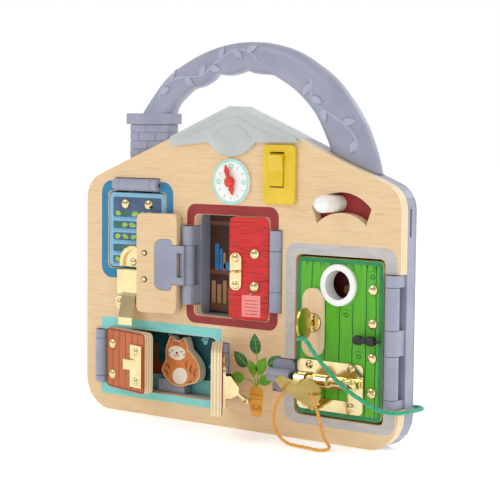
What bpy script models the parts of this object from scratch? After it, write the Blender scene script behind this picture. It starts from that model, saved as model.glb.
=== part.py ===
"""Lock board: a wooden house front with doors, latches and a clock on a moulded shell with a handle."""

import math
from collections import namedtuple

import bmesh
import bpy
from mathutils import Matrix, Vector

Rect = namedtuple("Rect", "left right bottom top")
Hinge = namedtuple("Hinge", "x z side low high leaves radius reach")

# General sizes
GAP = 0.0003
WELD = 0.00001
OVERRUN = 0.001
SIDES = 14
SMALL_SIDES = 10
SOFT_EDGE = 0.0005

# Board
HALF_WIDTH = 0.150
EAVES = 0.1865
ROOF_RISE = 0.0602
FOOT_CORNER = 0.025
EAVES_CORNER = 0.020
RIDGE_CORNER = 0.008
SHELL_DEPTH = 0.012
BACK_WALL = 0.0018
PLY = 0.0084
SHELL_FRONT = -SHELL_DEPTH / 2
SHELL_BACK = SHELL_DEPTH / 2
BAY_FLOOR = SHELL_BACK - BACK_WALL
PLY_BACK = SHELL_FRONT - GAP
FACE = PLY_BACK - PLY

# Openings in the board, and the bays behind them
WINDOW = Rect(-0.03625, 0.03625, 0.0848, 0.1636)
PET = Rect(-0.1264, -0.0140, 0.0187, 0.0682)
ENTRY = Rect(0.0595, 0.1375, 0.0185, 0.1380)
SHUTTER = Rect(-0.1265, -0.0650, 0.1166, 0.1790)
OPENING_CORNER = 0.004
WINDOW_CLEARANCE = 0.0004
PET_CLEARANCE = 0.0004
ENTRY_CLEARANCE = 0.0018
SHUTTER_CLEARANCE = 0.0010
LEAF_MEETING = 0.0010
LIGHTENING_BAYS = [
    Rect(-0.0600, -0.0490, 0.0840, 0.2000),
    Rect(-0.1260, -0.0700, 0.0760, 0.1100),
]
BATTERY_BAY = Rect(0.0030, 0.0370, 0.0210, 0.0690)
BATTERY_BAY_DEPTH = 0.0080
COVER_LIP = 0.0030

# Hinges: side is the way the leaf lies from the pin, reach is from the pin to the leaf's board
PIN_RADIUS = 0.0015
PIN_BORE = 0.0018
KNUCKLE_GAP = 0.0004
NOTCH_CLEARANCE = 0.0006
LEAF_THICKNESS = 0.0016
LEAF_SPREAD = 0.0045
LEAF_LENGTH = 0.0145
LEAF_CORNER = 0.0060
ARM_BACK = 0.0005
ARM_WINDOW_START = 0.0015
ARM_WINDOW_SHARE = 0.62
KNUCKLE_ROOT = 0.0010
WINDOW_LEFT = Hinge(-0.0423, 0, "right", 0.0930, 0.1540, [(0.1080, 0.1387)], 0.0050, 0.0065)
WINDOW_RIGHT = Hinge(0.0420, 0, "left", 0.0930, 0.1540, [(0.1080, 0.1387)], 0.0050, 0.0062)
PET_LEFT = Hinge(-0.1335, 0, "right", 0.0223, 0.0650, [(0.0272, 0.0581)], 0.0050, 0.0075)
PET_RIGHT = Hinge(-0.0069, 0, "left", 0.0223, 0.0650, [(0.0272, 0.0581)], 0.0050, 0.0075)
ENTRY_HINGE = Hinge(
    0.1435, 0, "left", 0.0317, 0.1270, [(0.0383, 0.0695), (0.0880, 0.1185)], 0.0052, 0.0078
)
SHUTTER_HINGE = Hinge(0, 0.1845, "down", -0.1187, -0.0723, [(-0.1117, -0.0793)], 0.0050, 0.0065)

# Rivets
SHANK = 0.0015
SHANK_HOLE = 0.0018
RIVET_RADIUS = 0.0040
RIVET_HEIGHT = 0.0022
SMALL_RIVET_RADIUS = 0.0033
SMALL_RIVET_HEIGHT = 0.0020
DOME_STEPS = 2

# Rest angles in degrees
WINDOW_LEFT_OPEN_ANGLE = 165
WINDOW_RIGHT_OPEN_ANGLE = 7
PET_LEFT_OPEN_ANGLE = 15
PET_RIGHT_OPEN_ANGLE = 127

# Chimney and handle
CHIMNEY = Rect(-0.1100, -0.0716, 0.1900, 0.2335)
CHIMNEY_CAP = Rect(-0.1133, -0.0688, 0.2330, 0.2416)
CHIMNEY_CAP_OVERHANG = 0.0020
HANDLE_DEPTH = 0.0160
HANDLE_EDGE = 0.0045
HANDLE_TOP = 0.2958
HANDLE_OUTER_SHARES = [
    (-0.677, 0.820), (-0.507, 0.907), (-0.317, 0.962), (-0.103, 0.994), (0.104, 0.998),
    (0.292, 0.979), (0.439, 0.943), (0.583, 0.889), (0.725, 0.799), (0.797, 0.719), (0.827, 0.663),
]
HANDLE_INNER_SHARES = [
    (0.543, 0.724), (0.517, 0.756), (0.443, 0.819), (0.332, 0.872), (0.220, 0.905), (0.187, 0.912),
    (0.079, 0.918), (0.025, 0.925), (-0.031, 0.918), (-0.094, 0.914), (-0.165, 0.916),
    (-0.207, 0.901), (-0.265, 0.887), (-0.337, 0.878), (-0.431, 0.842), (-0.463, 0.820),
]

# Lamp under the ridge
LAMP_PROUD = 0.0022
LAMP_WALL = 0.0015
LAMP_LEDGE = 0.2225
LAMP_TOP = 0.2445
LAMP_CROWN_RADIUS = 0.0240
LAMP_CROWN_ANGLE = 22
LAMP_ROOM_INSET = 0.0060
LAMP_TIP = 0.0640
LAMP_TIP_HEIGHT = 0.2200
LAMP_DIP = 0.0570
LAMP_DIP_HEIGHT = 0.2160
LAMP_LOBE_HALF = 0.0225
LAMP_LOBE_RADIUS = 0.0290
LAMP_LOBE_CENTRE = 0.2378
LAMP_BAY = Rect(-0.0240, 0.0240, 0.2160, 0.2300)
LAMP_BOARD_THICKNESS = 0.0016
BULB_RADIUS = 0.0025

# Clock
CLOCK_X = 0.0002
CLOCK_Z = 0.1894
CLOCK_RADIUS = 0.0175
CLOCK_RIM = 0.0028
CLOCK_RIM_HEIGHT = 0.0024
CLOCK_DIAL_HEIGHT = 0.0018
CLOCK_STEM = 0.0040
CLOCK_PIN = 0.0016
HAND_BORE = 0.0019
HAND_THICKNESS = 0.0010
HAND_HUB = 0.0042
HOUR_HAND_LIFT = 0.0029
HOUR_HAND_LENGTH = 0.0105
HOUR_HAND_WIDTH = 0.0052
HOUR_HAND_ANGLE = -166
MINUTE_HAND_LIFT = 0.0042
MINUTE_HAND_LENGTH = 0.0135
MINUTE_HAND_WIDTH = 0.0046
MINUTE_HAND_ANGLE = 14
CLOCK_CAP_LIFT = 0.0055
CLOCK_CAP_RADIUS = 0.0036
CLOCK_CAP_HEIGHT = 0.0016

# Lamp switch
SWITCH_PLATE = Rect(0.0308, 0.0599, 0.1740, 0.2180)
SWITCH_PLATE_THICKNESS = 0.0032
SWITCH_PLATE_CORNER = 0.0030
SWITCH_HOLE = Rect(0.0377, 0.0506, 0.1864, 0.2127)
SWITCH_BAY = Rect(0.0330, 0.0560, 0.1800, 0.2140)
ROCKER_CLEARANCE = 0.0004
ROCKER_HEIGHT = 0.0062
ROCKER_DIP = 0.0046
ROCKER_SHOULDER = 0.0020
ROCKER_TAIL = 0.0050
ROCKER_TAIL_SHARE = 0.5
ROCKER_END = 0.0008
ROCKER_AXIS_DEPTH = 0.0010
ROCKER_REST_ANGLE = 5

# Sign slot
SIGN_X = 0.0993
SIGN_Z = 0.1450
SIGN_OUTER_LIFT = 0.0050
SIGN_OUTER_RADIUS = 0.0346
SIGN_INNER_DROP = 0.0060
SIGN_INNER_RADIUS = 0.0306
SIGN_OUTER_ANGLE = 48
SIGN_INNER_ANGLE = 44
SIGN_BAY_RADIUS = 0.0450
SIGN_BAY_FLOOR = 0.1405
SIGN_PLATE_RADIUS = 0.0430
SIGN_PLATE_ANGLE = 62
SIGN_PLATE_THICKNESS = 0.0015
SIGN_PLATE_DEPTH = 0.0017
SIGN_HUB = 0.0044
SIGN_REST_ANGLE = 14.7
SIGN_SCREW_HEAD = 0.0034
PEG_PATH = 0.03205
PEG_RADIUS = 0.0064
PEG_REACH = 0.0190
PEG_STEM = 0.0025
PEG_STEM_HOLE = 0.0028
PEG_FLANGE = 0.0042
PEG_FLANGE_THICKNESS = 0.0012

# Toggle latch under the shutter
LATCH_X = -0.0980
LATCH_WIDTH = 0.0270
LATCH_AXIS_Z = 0.1152
LATCH_AXIS_LIFT = 0.0036
LATCH_BARREL = 0.0019
LATCH_BARREL_BORE = 0.0013
LATCH_PIN = 0.0010
LUG_FOOT = 0.0038
LUG_TOP = 0.0012
LATCH_BARREL_WIDTH = 0.0120
LATCH_SHEET = 0.0012
LATCH_BASE = Rect(-0.1090, -0.0855, 0.0860, 0.1168)
LATCH_BASE_THICKNESS = 0.0010
LATCH_EAR = Rect(-0.1175, -0.1060, 0.0840, 0.0940)
LATCH_EAR_RIVET_X = -0.1130
LATCH_PLATE_BOTTOM = 0.0970
TONGUE_WIDTH = 0.0144
TONGUE_BOTTOM = 0.0725
TONGUE_LIFT = 0.0115
TONGUE_TIP = 0.0060
CATCH_BOTTOM = 0.1188
CATCH_TOP = 0.1360
CATCH_THICKNESS = 0.0034
CATCH_RIM = 0.0040
CATCH_FLOOR = 0.0012

# Window hardware
STAPLE_INSET = 0.0066
STAPLE_BOTTOM = 0.1075
STAPLE_TOP = 0.1360
STAPLE_WIDTH = 0.0100
STAPLE_THICKNESS = 0.0010
STAPLE_RIVET_INSET = 0.0039
EYE_RADIUS = 0.0026
EYE_WIRE = 0.0009
EYE_LIFT = 0.0040
HOOK_PLATE_INSET = 0.0072
HOOK_LENGTH = 0.0100
HOOK_WIRE = 0.0011
HOOK_LIFT = 0.0050
HOOK_ARM_SHARE = 0.9
HOOK_TIP_SHARE = 1.25
HOOK_COLLAR = 0.0024
HOOK_COLLAR_BORE = 0.0013
HOOK_POST = 0.0010
HOOK_POST_HEIGHT = 0.0068

# Entry door hardware
PORTHOLE_X = 0.0989
PORTHOLE_Z = 0.1173
PORTHOLE_OUTER = 0.0153
PORTHOLE_INNER = 0.0108
PORTHOLE_SLEEVE = 0.0118
PORTHOLE_PROUD = 0.0032
KEY_PLATE = Rect(0.0684, 0.0866, 0.0629, 0.1139)
KEY_PLATE_THICKNESS = 0.0030
LOCK_X = 0.0783
LOCK_Z = 0.0886
LOCK_RADIUS = 0.0066
LOCK_PROUD = 0.0046
LOCK_BODY = 0.0050
LOCK_CLEARANCE = 0.0004
KEYWAY = 0.0021
KEYWAY_DEPTH = 0.0070
KEY_SHANK = 0.0016
KEY_SHANK_DEPTH = 0.0010
KEY_THICKNESS = 0.0020
KEY_BOW_NEAR = 0.0062
KEY_BOW_FAR = 0.0240
KEY_BOW_HALF = 0.0120
BOLT_PLATE = Rect(0.0634, 0.1209, 0.0239, 0.0608)
BOLT_PLATE_THICKNESS = 0.0010
BOLT_PLATE_CORNER = 0.0040
BOLT_WINDOW = Rect(0.0810, 0.1080, 0.0330, 0.0405)
BOLT_RIVETS = [(0.0741, 0.0571), (0.1107, 0.0571), (0.1110, 0.0289), (0.0705, 0.0289)]
BOLT_Z = 0.0465
BOLT_LIFT = 0.0046
BOLT_RADIUS = 0.0030
BOLT_BORE = 0.0033
BOLT_GUIDE_WALL = 0.0012
BOLT_GUIDES = [(0.0650, 0.0740), (0.0830, 0.0930)]
BOLT_LEFT = 0.0640
BOLT_RIGHT = 0.1190
KNOB_RADIUS = 0.0043
KNOB_X = 0.1165
KNOB_LIFT = 0.0090
KNOB_NECK = 0.0020
KEEPER = Rect(0.0405, 0.0605, 0.0340, 0.0586)
KEEPER_CORNER = 0.0050
KEEPER_LIFT = 0.0006
KEEPER_HOOD = 0.0052
KEEPER_BORE = 0.0036
KEEPER_END = 0.0025
HEART_HALF_WIDTH = 0.0185
HEART_LENGTH = 0.0370
HEART_THICKNESS = 0.0016
HEART_X = 0.0815
HEART_TIP_Z = 0.0258
HEART_TIP_LIFT = 0.0060
HEART_TILT_ANGLE = 44
HEART_PEG = 0.0015
HEART_PEG_HOLE = 0.0019
HEART_PEG_DEPTH = 0.0060
HEART_HOLE_X_SHARE = 0.43
HEART_HOLE_Y_SHARE = 0.545
HEART_HOLE = 0.0021
HEART_SHARES = [
    (0.0, 0.0), (0.16, 0.07), (0.45, 0.24), (0.78, 0.45), (0.97, 0.66), (1.0, 0.82), (0.90, 0.94),
    (0.70, 1.0), (0.45, 0.985), (0.20, 0.91), (0.0, 0.80),
]
STOP_LEFT = 0.1158
STOP_RIGHT = 0.1334
STOP_STUB = 0.1372
STOP_Z = 0.0796
STOP_LIFT = 0.0060
STOP_RADIUS = 0.0036
STOP_STUB_RADIUS = 0.0012
STOP_FOOT = 0.0014
STOP_PROFILE_SHARES = [
    (0, 1.0), (0.7, 1.0), (1.0, 0.8), (1.0, 0.4), (0.67, 0.2), (0.67, -0.2), (1.0, -0.4), (1.0, -0.8),
    (0.7, -1.0), (0, -1.0),
]

# Pet doors' hardware
STRIKE_NEAR = 0.0435
STRIKE_FAR = 0.0595
STRIKE_BOTTOM = 0.0237
STRIKE_TOP = 0.0575
STRIKE_THICKNESS = 0.0010
STRIKE_RIVET_INSET = 0.0050
STRIKE_TONGUE = Rect(0.0380, 0.0520, 0.0375, 0.0456)
STRIKE_TONGUE_LIFT = 0.0030
CATCH_PLATE = Rect(0.0270, 0.0410, 0.0195, 0.0530)
CATCH_PLATE_THICKNESS = 0.0020
EAR_THICKNESS = 0.0012
EAR_REACH = 0.0120
EAR_TOP = 0.0460
EAR_BOTTOM = 0.0290
LEVER_AXIS_LIFT = 0.0081
LEVER_AXIS_Z = 0.0349
LEVER_PIN = 0.0011
LEVER_BORE = 0.0014
LEVER_BARREL = 0.0026
LEVER_TIP_LIFT = 0.0184
LEVER_TIP_Z = 0.0263
LEVER_NECK = 0.0013
LEVER_NECK_END = 0.0020
LEVER_BALL = 0.0028

# Rocking figure
FIGURE_X = -0.0590
FIGURE_Z = 0.0430
FIGURE_FRONT = -0.0058
FIGURE_BACK = 0.0016
FIGURE_SOLE = 0.0190
FIGURE_SHARES = [
    (0.56, -0.83), (0.95, -0.72), (1.15, -0.38), (1.08, 0.05), (0.80, 0.38), (0.52, 0.62),
    (0.42, 0.92), (0.28, 1.12), (0.10, 0.98), (-0.22, 0.98), (-0.44, 1.12), (-0.58, 0.90),
    (-0.72, 0.52), (-0.70, 0.12), (-0.88, -0.20), (-0.93, -0.37),
]
FIGURE_SOLE_START = -158
FIGURE_SOLE_END = -56
CRADLE = Rect(-0.0800, -0.0530, 0.0191, 0.0290)
CRADLE_GAP = 0.0005

# Cords
KEY_CORD_RADIUS = 0.0016
KEY_CORD_ROUTE = [
    (0.0800, -0.0337, 0.0790), (0.0825, -0.0337, 0.0777), (0.0858, -0.0336, 0.0740),
    (0.0908, -0.0332, 0.0677), (0.1033, -0.0322, 0.0554), (0.1152, -0.0312, 0.0458),
    (0.1270, -0.0290, 0.0387), (0.1386, -0.0260, 0.0326), (0.1480, -0.0225, 0.0305),
    (0.1530, -0.0140, 0.0300), (0.1548, -0.0030, 0.0298), (0.1552, 0.0078, 0.0297),
    (0.1537, 0.0121, 0.0296), (0.1501, 0.0147, 0.0296), (0.1461, 0.0147, 0.0296),
    (0.1425, 0.0121, 0.0296), (0.1411, 0.0083, 0.0296), (0.1411, 0.0063, 0.0296),
]
KEY_CORD_STEPS = 3
HEART_CORD_RADIUS = 0.0012
HEART_CORD_ROUTE = [
    (0.0900, -0.0357, 0.0385), (0.0926, -0.0359, 0.0350), (0.0950, -0.0355, 0.0270),
    (0.0972, -0.0345, 0.0177), (0.0988, -0.0336, 0.0108), (0.1012, -0.0334, 0.0062),
    (0.1052, -0.0351, 0.0034), (0.1070, -0.0392, 0.0020), (0.1053, -0.0433, 0.0016),
    (0.1012, -0.0450, 0.0016), (0.0950, -0.0438, 0.0016), (0.0879, -0.0428, 0.0016),
    (0.0800, -0.0420, 0.0016), (0.0725, -0.0413, 0.0024), (0.0652, -0.0405, 0.0060),
    (0.0605, -0.0400, 0.0120), (0.0590, -0.0392, 0.0195), (0.0594, -0.0372, 0.0280),
    (0.0622, -0.0335, 0.0360), (0.0675, -0.0295, 0.0415), (0.0750, -0.0280, 0.0440),
    (0.0830, -0.0291, 0.0437), (0.0888, -0.0318, 0.0420),
]
HEART_CORD_STEPS = 2


def clear_scene():
    for thing in list(bpy.data.objects):
        bpy.data.objects.remove(thing)


def new_collection(name):
    collection = bpy.data.collections.new(name)
    bpy.context.scene.collection.children.link(collection)
    return collection


clear_scene()
PARTS = new_collection("lock_board")
CUTTERS = new_collection("cutters")


# Materials
def material(name, colour, roughness, metallic=0.0, transmission=0.0):
    made = bpy.data.materials.new(name)
    made.use_nodes = True
    shader = made.node_tree.nodes["Principled BSDF"]
    shader.inputs["Base Color"].default_value = (*colour, 1)
    shader.inputs["Roughness"].default_value = roughness
    shader.inputs["Metallic"].default_value = metallic
    shader.inputs["Transmission Weight"].default_value = transmission
    return made


LOOKS = {
    "ply": material("birch ply", (0.81, 0.61, 0.38), 0.55),
    "shell": material("lavender plastic", (0.32, 0.34, 0.47), 0.45),
    "lamp": material("frosted plastic", (0.62, 0.66, 0.66), 0.35, transmission=0.5),
    "board": material("circuit board", (0.05, 0.22, 0.09), 0.5),
    "yellow": material("yellow plastic", (0.80, 0.57, 0.03), 0.4),
    "dial": material("dial plastic", (0.80, 0.80, 0.78), 0.4),
    "hands": material("red plastic", (0.70, 0.05, 0.03), 0.4),
    "sign": material("red card", (0.45, 0.03, 0.03), 0.5),
    "white": material("white plastic", (0.80, 0.80, 0.78), 0.35),
    "steel": material("steel", (0.60, 0.60, 0.60), 0.3, 1.0),
    "brass": material("polished brass", (0.85, 0.70, 0.42), 0.15, 1.0),
    "bronze": material("dull brass", (0.46, 0.38, 0.16), 0.35, 1.0),
    "blue": material("blue paint", (0.20, 0.45, 0.62), 0.4),
    "red": material("red paint", (0.75, 0.05, 0.05), 0.4),
    "green": material("green paint", (0.17, 0.55, 0.03), 0.4),
    "orange": material("orange paint", (0.63, 0.16, 0.04), 0.4),
    "black": material("black plastic", (0.02, 0.02, 0.02), 0.4),
    "orange_cord": material("orange cord", (0.80, 0.38, 0.04), 0.8),
    "green_cord": material("green cord", (0.03, 0.42, 0.20), 0.8),
}


# Outlines
def arc(x, y, radius, start, end, steps):
    turns = [math.radians(start + (end - start) * step / steps) for step in range(steps + 1)]
    return [(x + radius * math.cos(turn), y + radius * math.sin(turn)) for turn in turns]


def circle(x, y, radius, sides=SIDES):
    return arc(x, y, radius, 0, 360, sides)[:-1]


def rounded(corners, steps=3):
    """A polygon from (x, y, radius) corners, each turned into an arc that touches both sides."""
    points = []
    for index, (x, y, radius) in enumerate(corners):
        here = Vector((x, y))
        before = (Vector(corners[index - 1][:2]) - here).normalized()
        after = (Vector(corners[(index + 1) % len(corners)][:2]) - here).normalized()
        if not radius:
            points.append((x, y))
            continue
        half = before.angle(after) / 2
        centre = here + (before + after).normalized() * radius / math.sin(half)
        first = here + before * radius / math.tan(half) - centre
        last = here + after * radius / math.tan(half) - centre
        for step in range(steps + 1):
            swing = first.lerp(last, step / steps).normalized() * radius
            points.append(tuple(centre + swing))
    return points


def rectangle(rect, corner=0.0, steps=3):
    return rounded(
        [
            (rect.left, rect.bottom, corner),
            (rect.right, rect.bottom, corner),
            (rect.right, rect.top, corner),
            (rect.left, rect.top, corner),
        ],
        steps,
    )


def inset(rect, by):
    return Rect(rect.left + by, rect.right - by, rect.bottom + by, rect.top - by)


def smooth(route, steps, closed=False):
    """Points on a smooth curve through the route's points."""
    points = [Vector(point) for point in route]
    count = len(points)
    found = []
    for index in range(count if closed else count - 1):
        if closed:
            four = [points[(index + shift) % count] for shift in (-1, 0, 1, 2)]
        else:
            four = [points[min(max(index + shift, 0), count - 1)] for shift in (-1, 0, 1, 2)]
        for step in range(steps):
            t = step / steps
            a = four[1] * 2
            b = (four[2] - four[0]) * t
            c = (four[0] * 2 - four[1] * 5 + four[2] * 4 - four[3]) * t**2
            d = (four[1] * 3 - four[0] - four[2] * 3 + four[3]) * t**3
            found.append((a + b + c + d) / 2)
    return found if closed else found + [points[-1]]


def roof(x):
    return EAVES + ROOF_RISE * (1 - abs(x) / HALF_WIDTH)


# Frames
def facing(x=0.0, z=0.0):
    """Right, up and forward at a place on the board's face; forward is the third axis."""
    return Matrix.Translation((x, FACE, z)) @ Matrix.Rotation(math.pi / 2, 4, "X")


def edgeways(x, z=0.0):
    """Forward and up at a place on the board's face; the third axis runs across the board."""
    axes = Matrix(((0, 0, -1, 0), (-1, 0, 0, 0), (0, 1, 0, 0), (0, 0, 0, 1)))
    return Matrix.Translation((x, FACE, z)) @ axes


def hinge_frame(hinge):
    """Towards the leaf, into the board and along the pin, from the pin's line."""
    along = {
        "right": ((1, 0, 0, 0), (0, 1, 0, 0), (0, 0, 1, 0), (0, 0, 0, 1)),
        "left": ((-1, 0, 0, 0), (0, 1, 0, 0), (0, 0, -1, 0), (0, 0, 0, 1)),
        "down": ((0, 0, 1, 0), (0, 1, 0, 0), (-1, 0, 0, 0), (0, 0, 0, 1)),
    }
    return Matrix.Translation((hinge.x, FACE, hinge.z)) @ Matrix(along[hinge.side])


def along_pin(hinge, low, high):
    """A stretch along the pin in the hinge's own frame, which runs down on a left leaf."""
    return (-high, -low) if hinge.side == "left" else (low, high)


# Solids
def piece_of(name, mesh, frame=None):
    piece = bpy.data.objects.new(name, mesh)
    piece.matrix_world = frame or Matrix()
    PARTS.objects.link(piece)
    return piece


def solid_from(guide, name):
    bpy.context.scene.collection.objects.link(guide)
    graph = bpy.context.evaluated_depsgraph_get()
    mesh = bpy.data.meshes.new_from_object(guide.evaluated_get(graph))
    mesh.name = name
    shape = bmesh.new()
    shape.from_mesh(mesh)
    bmesh.ops.remove_doubles(shape, verts=shape.verts, dist=WELD)
    bmesh.ops.recalc_face_normals(shape, faces=shape.faces)
    shape.to_mesh(mesh)
    shape.free()
    piece = piece_of(name, mesh, guide.matrix_world)
    bpy.data.objects.remove(guide)
    return piece


def prism(name, loops, frame, low, high, edge=0.0):
    """Flat loops, the later ones as holes, made solid from low to high along the frame's third axis."""
    curve = bpy.data.curves.new(name, "CURVE")
    curve.dimensions = "2D"
    curve.fill_mode = "BOTH"
    curve.extrude = (high - low) / 2 - edge
    curve.bevel_depth = edge
    curve.bevel_resolution = 0
    curve.offset = -edge
    for loop in loops:
        spline = curve.splines.new("POLY")
        spline.points.add(len(loop) - 1)
        for point, place in zip(spline.points, loop):
            point.co = (place[0], place[1], 0, 1)
        spline.use_cyclic_u = True
    guide = bpy.data.objects.new(name + "_outline", curve)
    guide.matrix_world = frame @ Matrix.Translation((0, 0, (low + high) / 2))
    return solid_from(guide, name)


def slab(name, outline, front, back, edge=0.0, holes=()):
    """An upright plate between two depths, front and back, from an outline seen from the front."""
    return prism(name, [outline, *holes], facing(), FACE - back, FACE - front, edge)


def mount(name, outline, low, high, edge=0.0, holes=()):
    """A plate on the board's face, from one height above it to another."""
    return prism(name, [outline, *holes], facing(), low, high, edge)


def box(name, low, high, frame=None):
    shape = bmesh.new()
    middle = (Vector(low) + Vector(high)) / 2
    size = Vector(high) - Vector(low)
    bmesh.ops.create_cube(shape, size=1, matrix=Matrix.Translation(middle) @ Matrix.Diagonal((*size, 1)))
    mesh = bpy.data.meshes.new(name)
    shape.to_mesh(mesh)
    shape.free()
    return piece_of(name, mesh, frame)


def rod(name, start, end, radius, sides=SMALL_SIDES, end_radius=None):
    start, end = Vector(start), Vector(end)
    shape = bmesh.new()
    bmesh.ops.create_cone(
        shape,
        cap_ends=True,
        segments=sides,
        radius1=radius,
        radius2=radius if end_radius is None else end_radius,
        depth=(end - start).length,
    )
    mesh = bpy.data.meshes.new(name)
    shape.to_mesh(mesh)
    shape.free()
    turn = (end - start).to_track_quat("Z", "Y").to_matrix().to_4x4()
    return piece_of(name, mesh, Matrix.Translation((start + end) / 2) @ turn)


def ball(name, centre, radius, sides=SMALL_SIDES):
    shape = bmesh.new()
    bmesh.ops.create_uvsphere(shape, u_segments=sides, v_segments=sides // 2, radius=radius)
    mesh = bpy.data.meshes.new(name)
    shape.to_mesh(mesh)
    shape.free()
    return piece_of(name, mesh, Matrix.Translation(centre))


def turned(name, profile, frame, sides=SIDES, ring=False):
    """A profile of (radius, height) points, from the top down, turned about the third axis."""
    mesh = bpy.data.meshes.new(name)
    edges = [(index, index + 1) for index in range(len(profile) - 1)]
    if ring:
        edges.append((len(profile) - 1, 0))
    mesh.from_pydata([(radius, 0, height) for radius, height in profile], edges, [])
    piece = piece_of(name, mesh, frame)
    screw = piece.modifiers.new("Turn", "SCREW")
    screw.steps = sides
    screw.render_steps = sides
    screw.use_merge_vertices = True
    screw.merge_threshold = WELD
    return piece


def tube(name, route, radius, steps):
    """A round cord along a smooth curve through the route."""
    curve = bpy.data.curves.new(name, "CURVE")
    curve.dimensions = "3D"
    curve.bevel_depth = radius
    curve.bevel_resolution = 2
    curve.use_fill_caps = True
    points = smooth(route, steps)
    spline = curve.splines.new("POLY")
    spline.points.add(len(points) - 1)
    for point, place in zip(spline.points, points):
        point.co = (*place, 1)
    return solid_from(bpy.data.objects.new(name + "_line", curve), name)


def gathered(name, tools):
    """Several tools that don't touch each other as one."""
    shape = bmesh.new()
    for tool in tools:
        tool.data.transform(tool.matrix_basis)
        shape.from_mesh(tool.data)
        bpy.data.objects.remove(tool)
    mesh = bpy.data.meshes.new(name)
    shape.to_mesh(mesh)
    shape.free()
    return piece_of(name, mesh)


def use(piece, tool, operation):
    """Adds a tool to a piece, or cuts it out; the tool then moves with the piece."""
    change = piece.modifiers.new(tool.name, "BOOLEAN")
    change.operation = operation
    change.solver = "EXACT"
    change.object = tool
    tool.parent = piece
    tool.matrix_parent_inverse = piece.matrix_basis.inverted()
    tool.hide_render = True
    tool.display_type = "WIRE"
    PARTS.objects.unlink(tool)
    CUTTERS.objects.link(tool)


def add(piece, *tools):
    for tool in tools:
        use(piece, tool, "UNION")


def cut(piece, *tools):
    for tool in tools:
        use(piece, tool, "DIFFERENCE")


def finish(piece, look, parent=None):
    piece.data.materials.clear()
    piece.data.materials.append(LOOKS[look])
    if parent:
        attach(piece, parent)
    return piece


# Moving groups
def pivot(name, place, parent=None):
    empty = bpy.data.objects.new(name, None)
    empty.location = place
    empty["place"] = place
    PARTS.objects.link(empty)
    if parent:
        attach(empty, parent)
    return empty


def attach(child, parent):
    child.parent = parent
    child.matrix_parent_inverse = Matrix.Translation(parent["place"]).inverted()


def hinge_pivot(name, hinge):
    return pivot(name, (hinge.x, FACE, hinge.z))


# Rivets
def rivet_profile(radius, height, shank, length):
    dome = [
        (radius * math.sin(turn), height * math.cos(turn))
        for turn in (math.pi / 2 * step / DOME_STEPS for step in range(DOME_STEPS + 1))
    ]
    return dome + [(shank, 0), (shank, -length), (0, -length)]


def rivet(name, x, z, lift, radius=RIVET_RADIUS, height=RIVET_HEIGHT, depth=PLY / 2):
    """A domed rivet: its head starts at the given lift, its shank goes to a depth in the ply."""
    frame = facing(x, z) @ Matrix.Translation((0, 0, lift))
    return turned(name, rivet_profile(radius, height, SHANK, lift + depth), frame, SMALL_SIDES)


def shank_hole(name, x, z, radius=SHANK_HOLE, sides=SMALL_SIDES):
    return rod(name, (x, FACE - OVERRUN, z), (x, PLY_BACK + OVERRUN, z), radius, sides)


# Hinge parts
def shell_knuckles(shell, name, hinge):
    """The fixed knuckles of one hinge, added to the shell."""
    radius = hinge.radius
    outline = arc(0, 0, radius, 0, -180, SIDES // 2)
    root = SHELL_FRONT - FACE + KNUCKLE_ROOT
    outline += [(-radius, root), (radius, root)]
    stops = [hinge.low]
    for low, high in hinge.leaves:
        stops += [low - KNUCKLE_GAP / 2, high + KNUCKLE_GAP / 2]
    stops.append(hinge.high)
    for index in range(0, len(stops), 2):
        low, high = along_pin(hinge, stops[index], stops[index + 1])
        add(shell, prism(f"{name}_knuckle_{index // 2}", [outline], hinge_frame(hinge), low, high))


def pin_rod(name, hinge, radius, past):
    low, high = along_pin(hinge, hinge.low - past, hinge.high + past)
    frame = hinge_frame(hinge)
    return rod(name, frame @ Vector((0, 0, low)), frame @ Vector((0, 0, high)), radius)


def leaf_recess_places(hinge, low, high):
    start = hinge.reach + LEAF_SPREAD
    middle = (low + high) / 2
    half = (high - low) / 2 + LEAF_SPREAD
    return start, start + LEAF_LENGTH, middle - half, middle + half


def hinge_leaf(name, hinge, low, high, rivets):
    """Knuckle, arm and riveted leaf of one hinge; rivets are places along the pin and the reach to them."""
    frame = hinge_frame(hinge)
    low_end, high_end = along_pin(hinge, low, high)
    radius = hinge.radius
    inner = PLY - LEAF_THICKNESS
    start, end, leaf_low, leaf_high = leaf_recess_places(hinge, low_end, high_end)
    wrap = 360 - math.degrees(math.acos(ARM_BACK / radius))
    neck = start + LEAF_SPREAD
    outline = arc(0, 0, radius, 0, -wrap, SIDES)
    outline += [(ARM_BACK, PLY), (neck, PLY), (neck, inner), (radius, inner)]
    leaf = prism(name, [outline], frame, low_end + KNUCKLE_GAP / 2, high_end - KNUCKLE_GAP / 2)
    plate = [
        (start, leaf_low, LEAF_CORNER / 2),
        (end, leaf_low, LEAF_CORNER),
        (end, leaf_high, LEAF_CORNER),
        (start, leaf_high, LEAF_CORNER / 2),
    ]
    pad = prism(name + "_pad", [rounded(plate)], frame_lying(frame), -PLY, -inner)
    add(leaf, pad)
    window = (high_end - low_end) / 2 * ARM_WINDOW_SHARE
    middle = (low_end + high_end) / 2
    cut(
        leaf,
        box(
            name + "_window",
            (ARM_WINDOW_START, radius + GAP, middle - window),
            (hinge.reach, PLY + OVERRUN, middle + window),
            frame,
        ),
    )
    for index, (x, z) in enumerate(rivets):
        add(leaf, rivet(f"{name}_rivet_{index}", x, z, GAP, depth=PLY - LEAF_THICKNESS / 2))
    ends = [frame @ Vector((0, 0, low_end - OVERRUN)), frame @ Vector((0, 0, high_end + OVERRUN))]
    cut(leaf, rod(name + "_bore", ends[0], ends[1], PIN_BORE))
    return leaf


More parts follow.
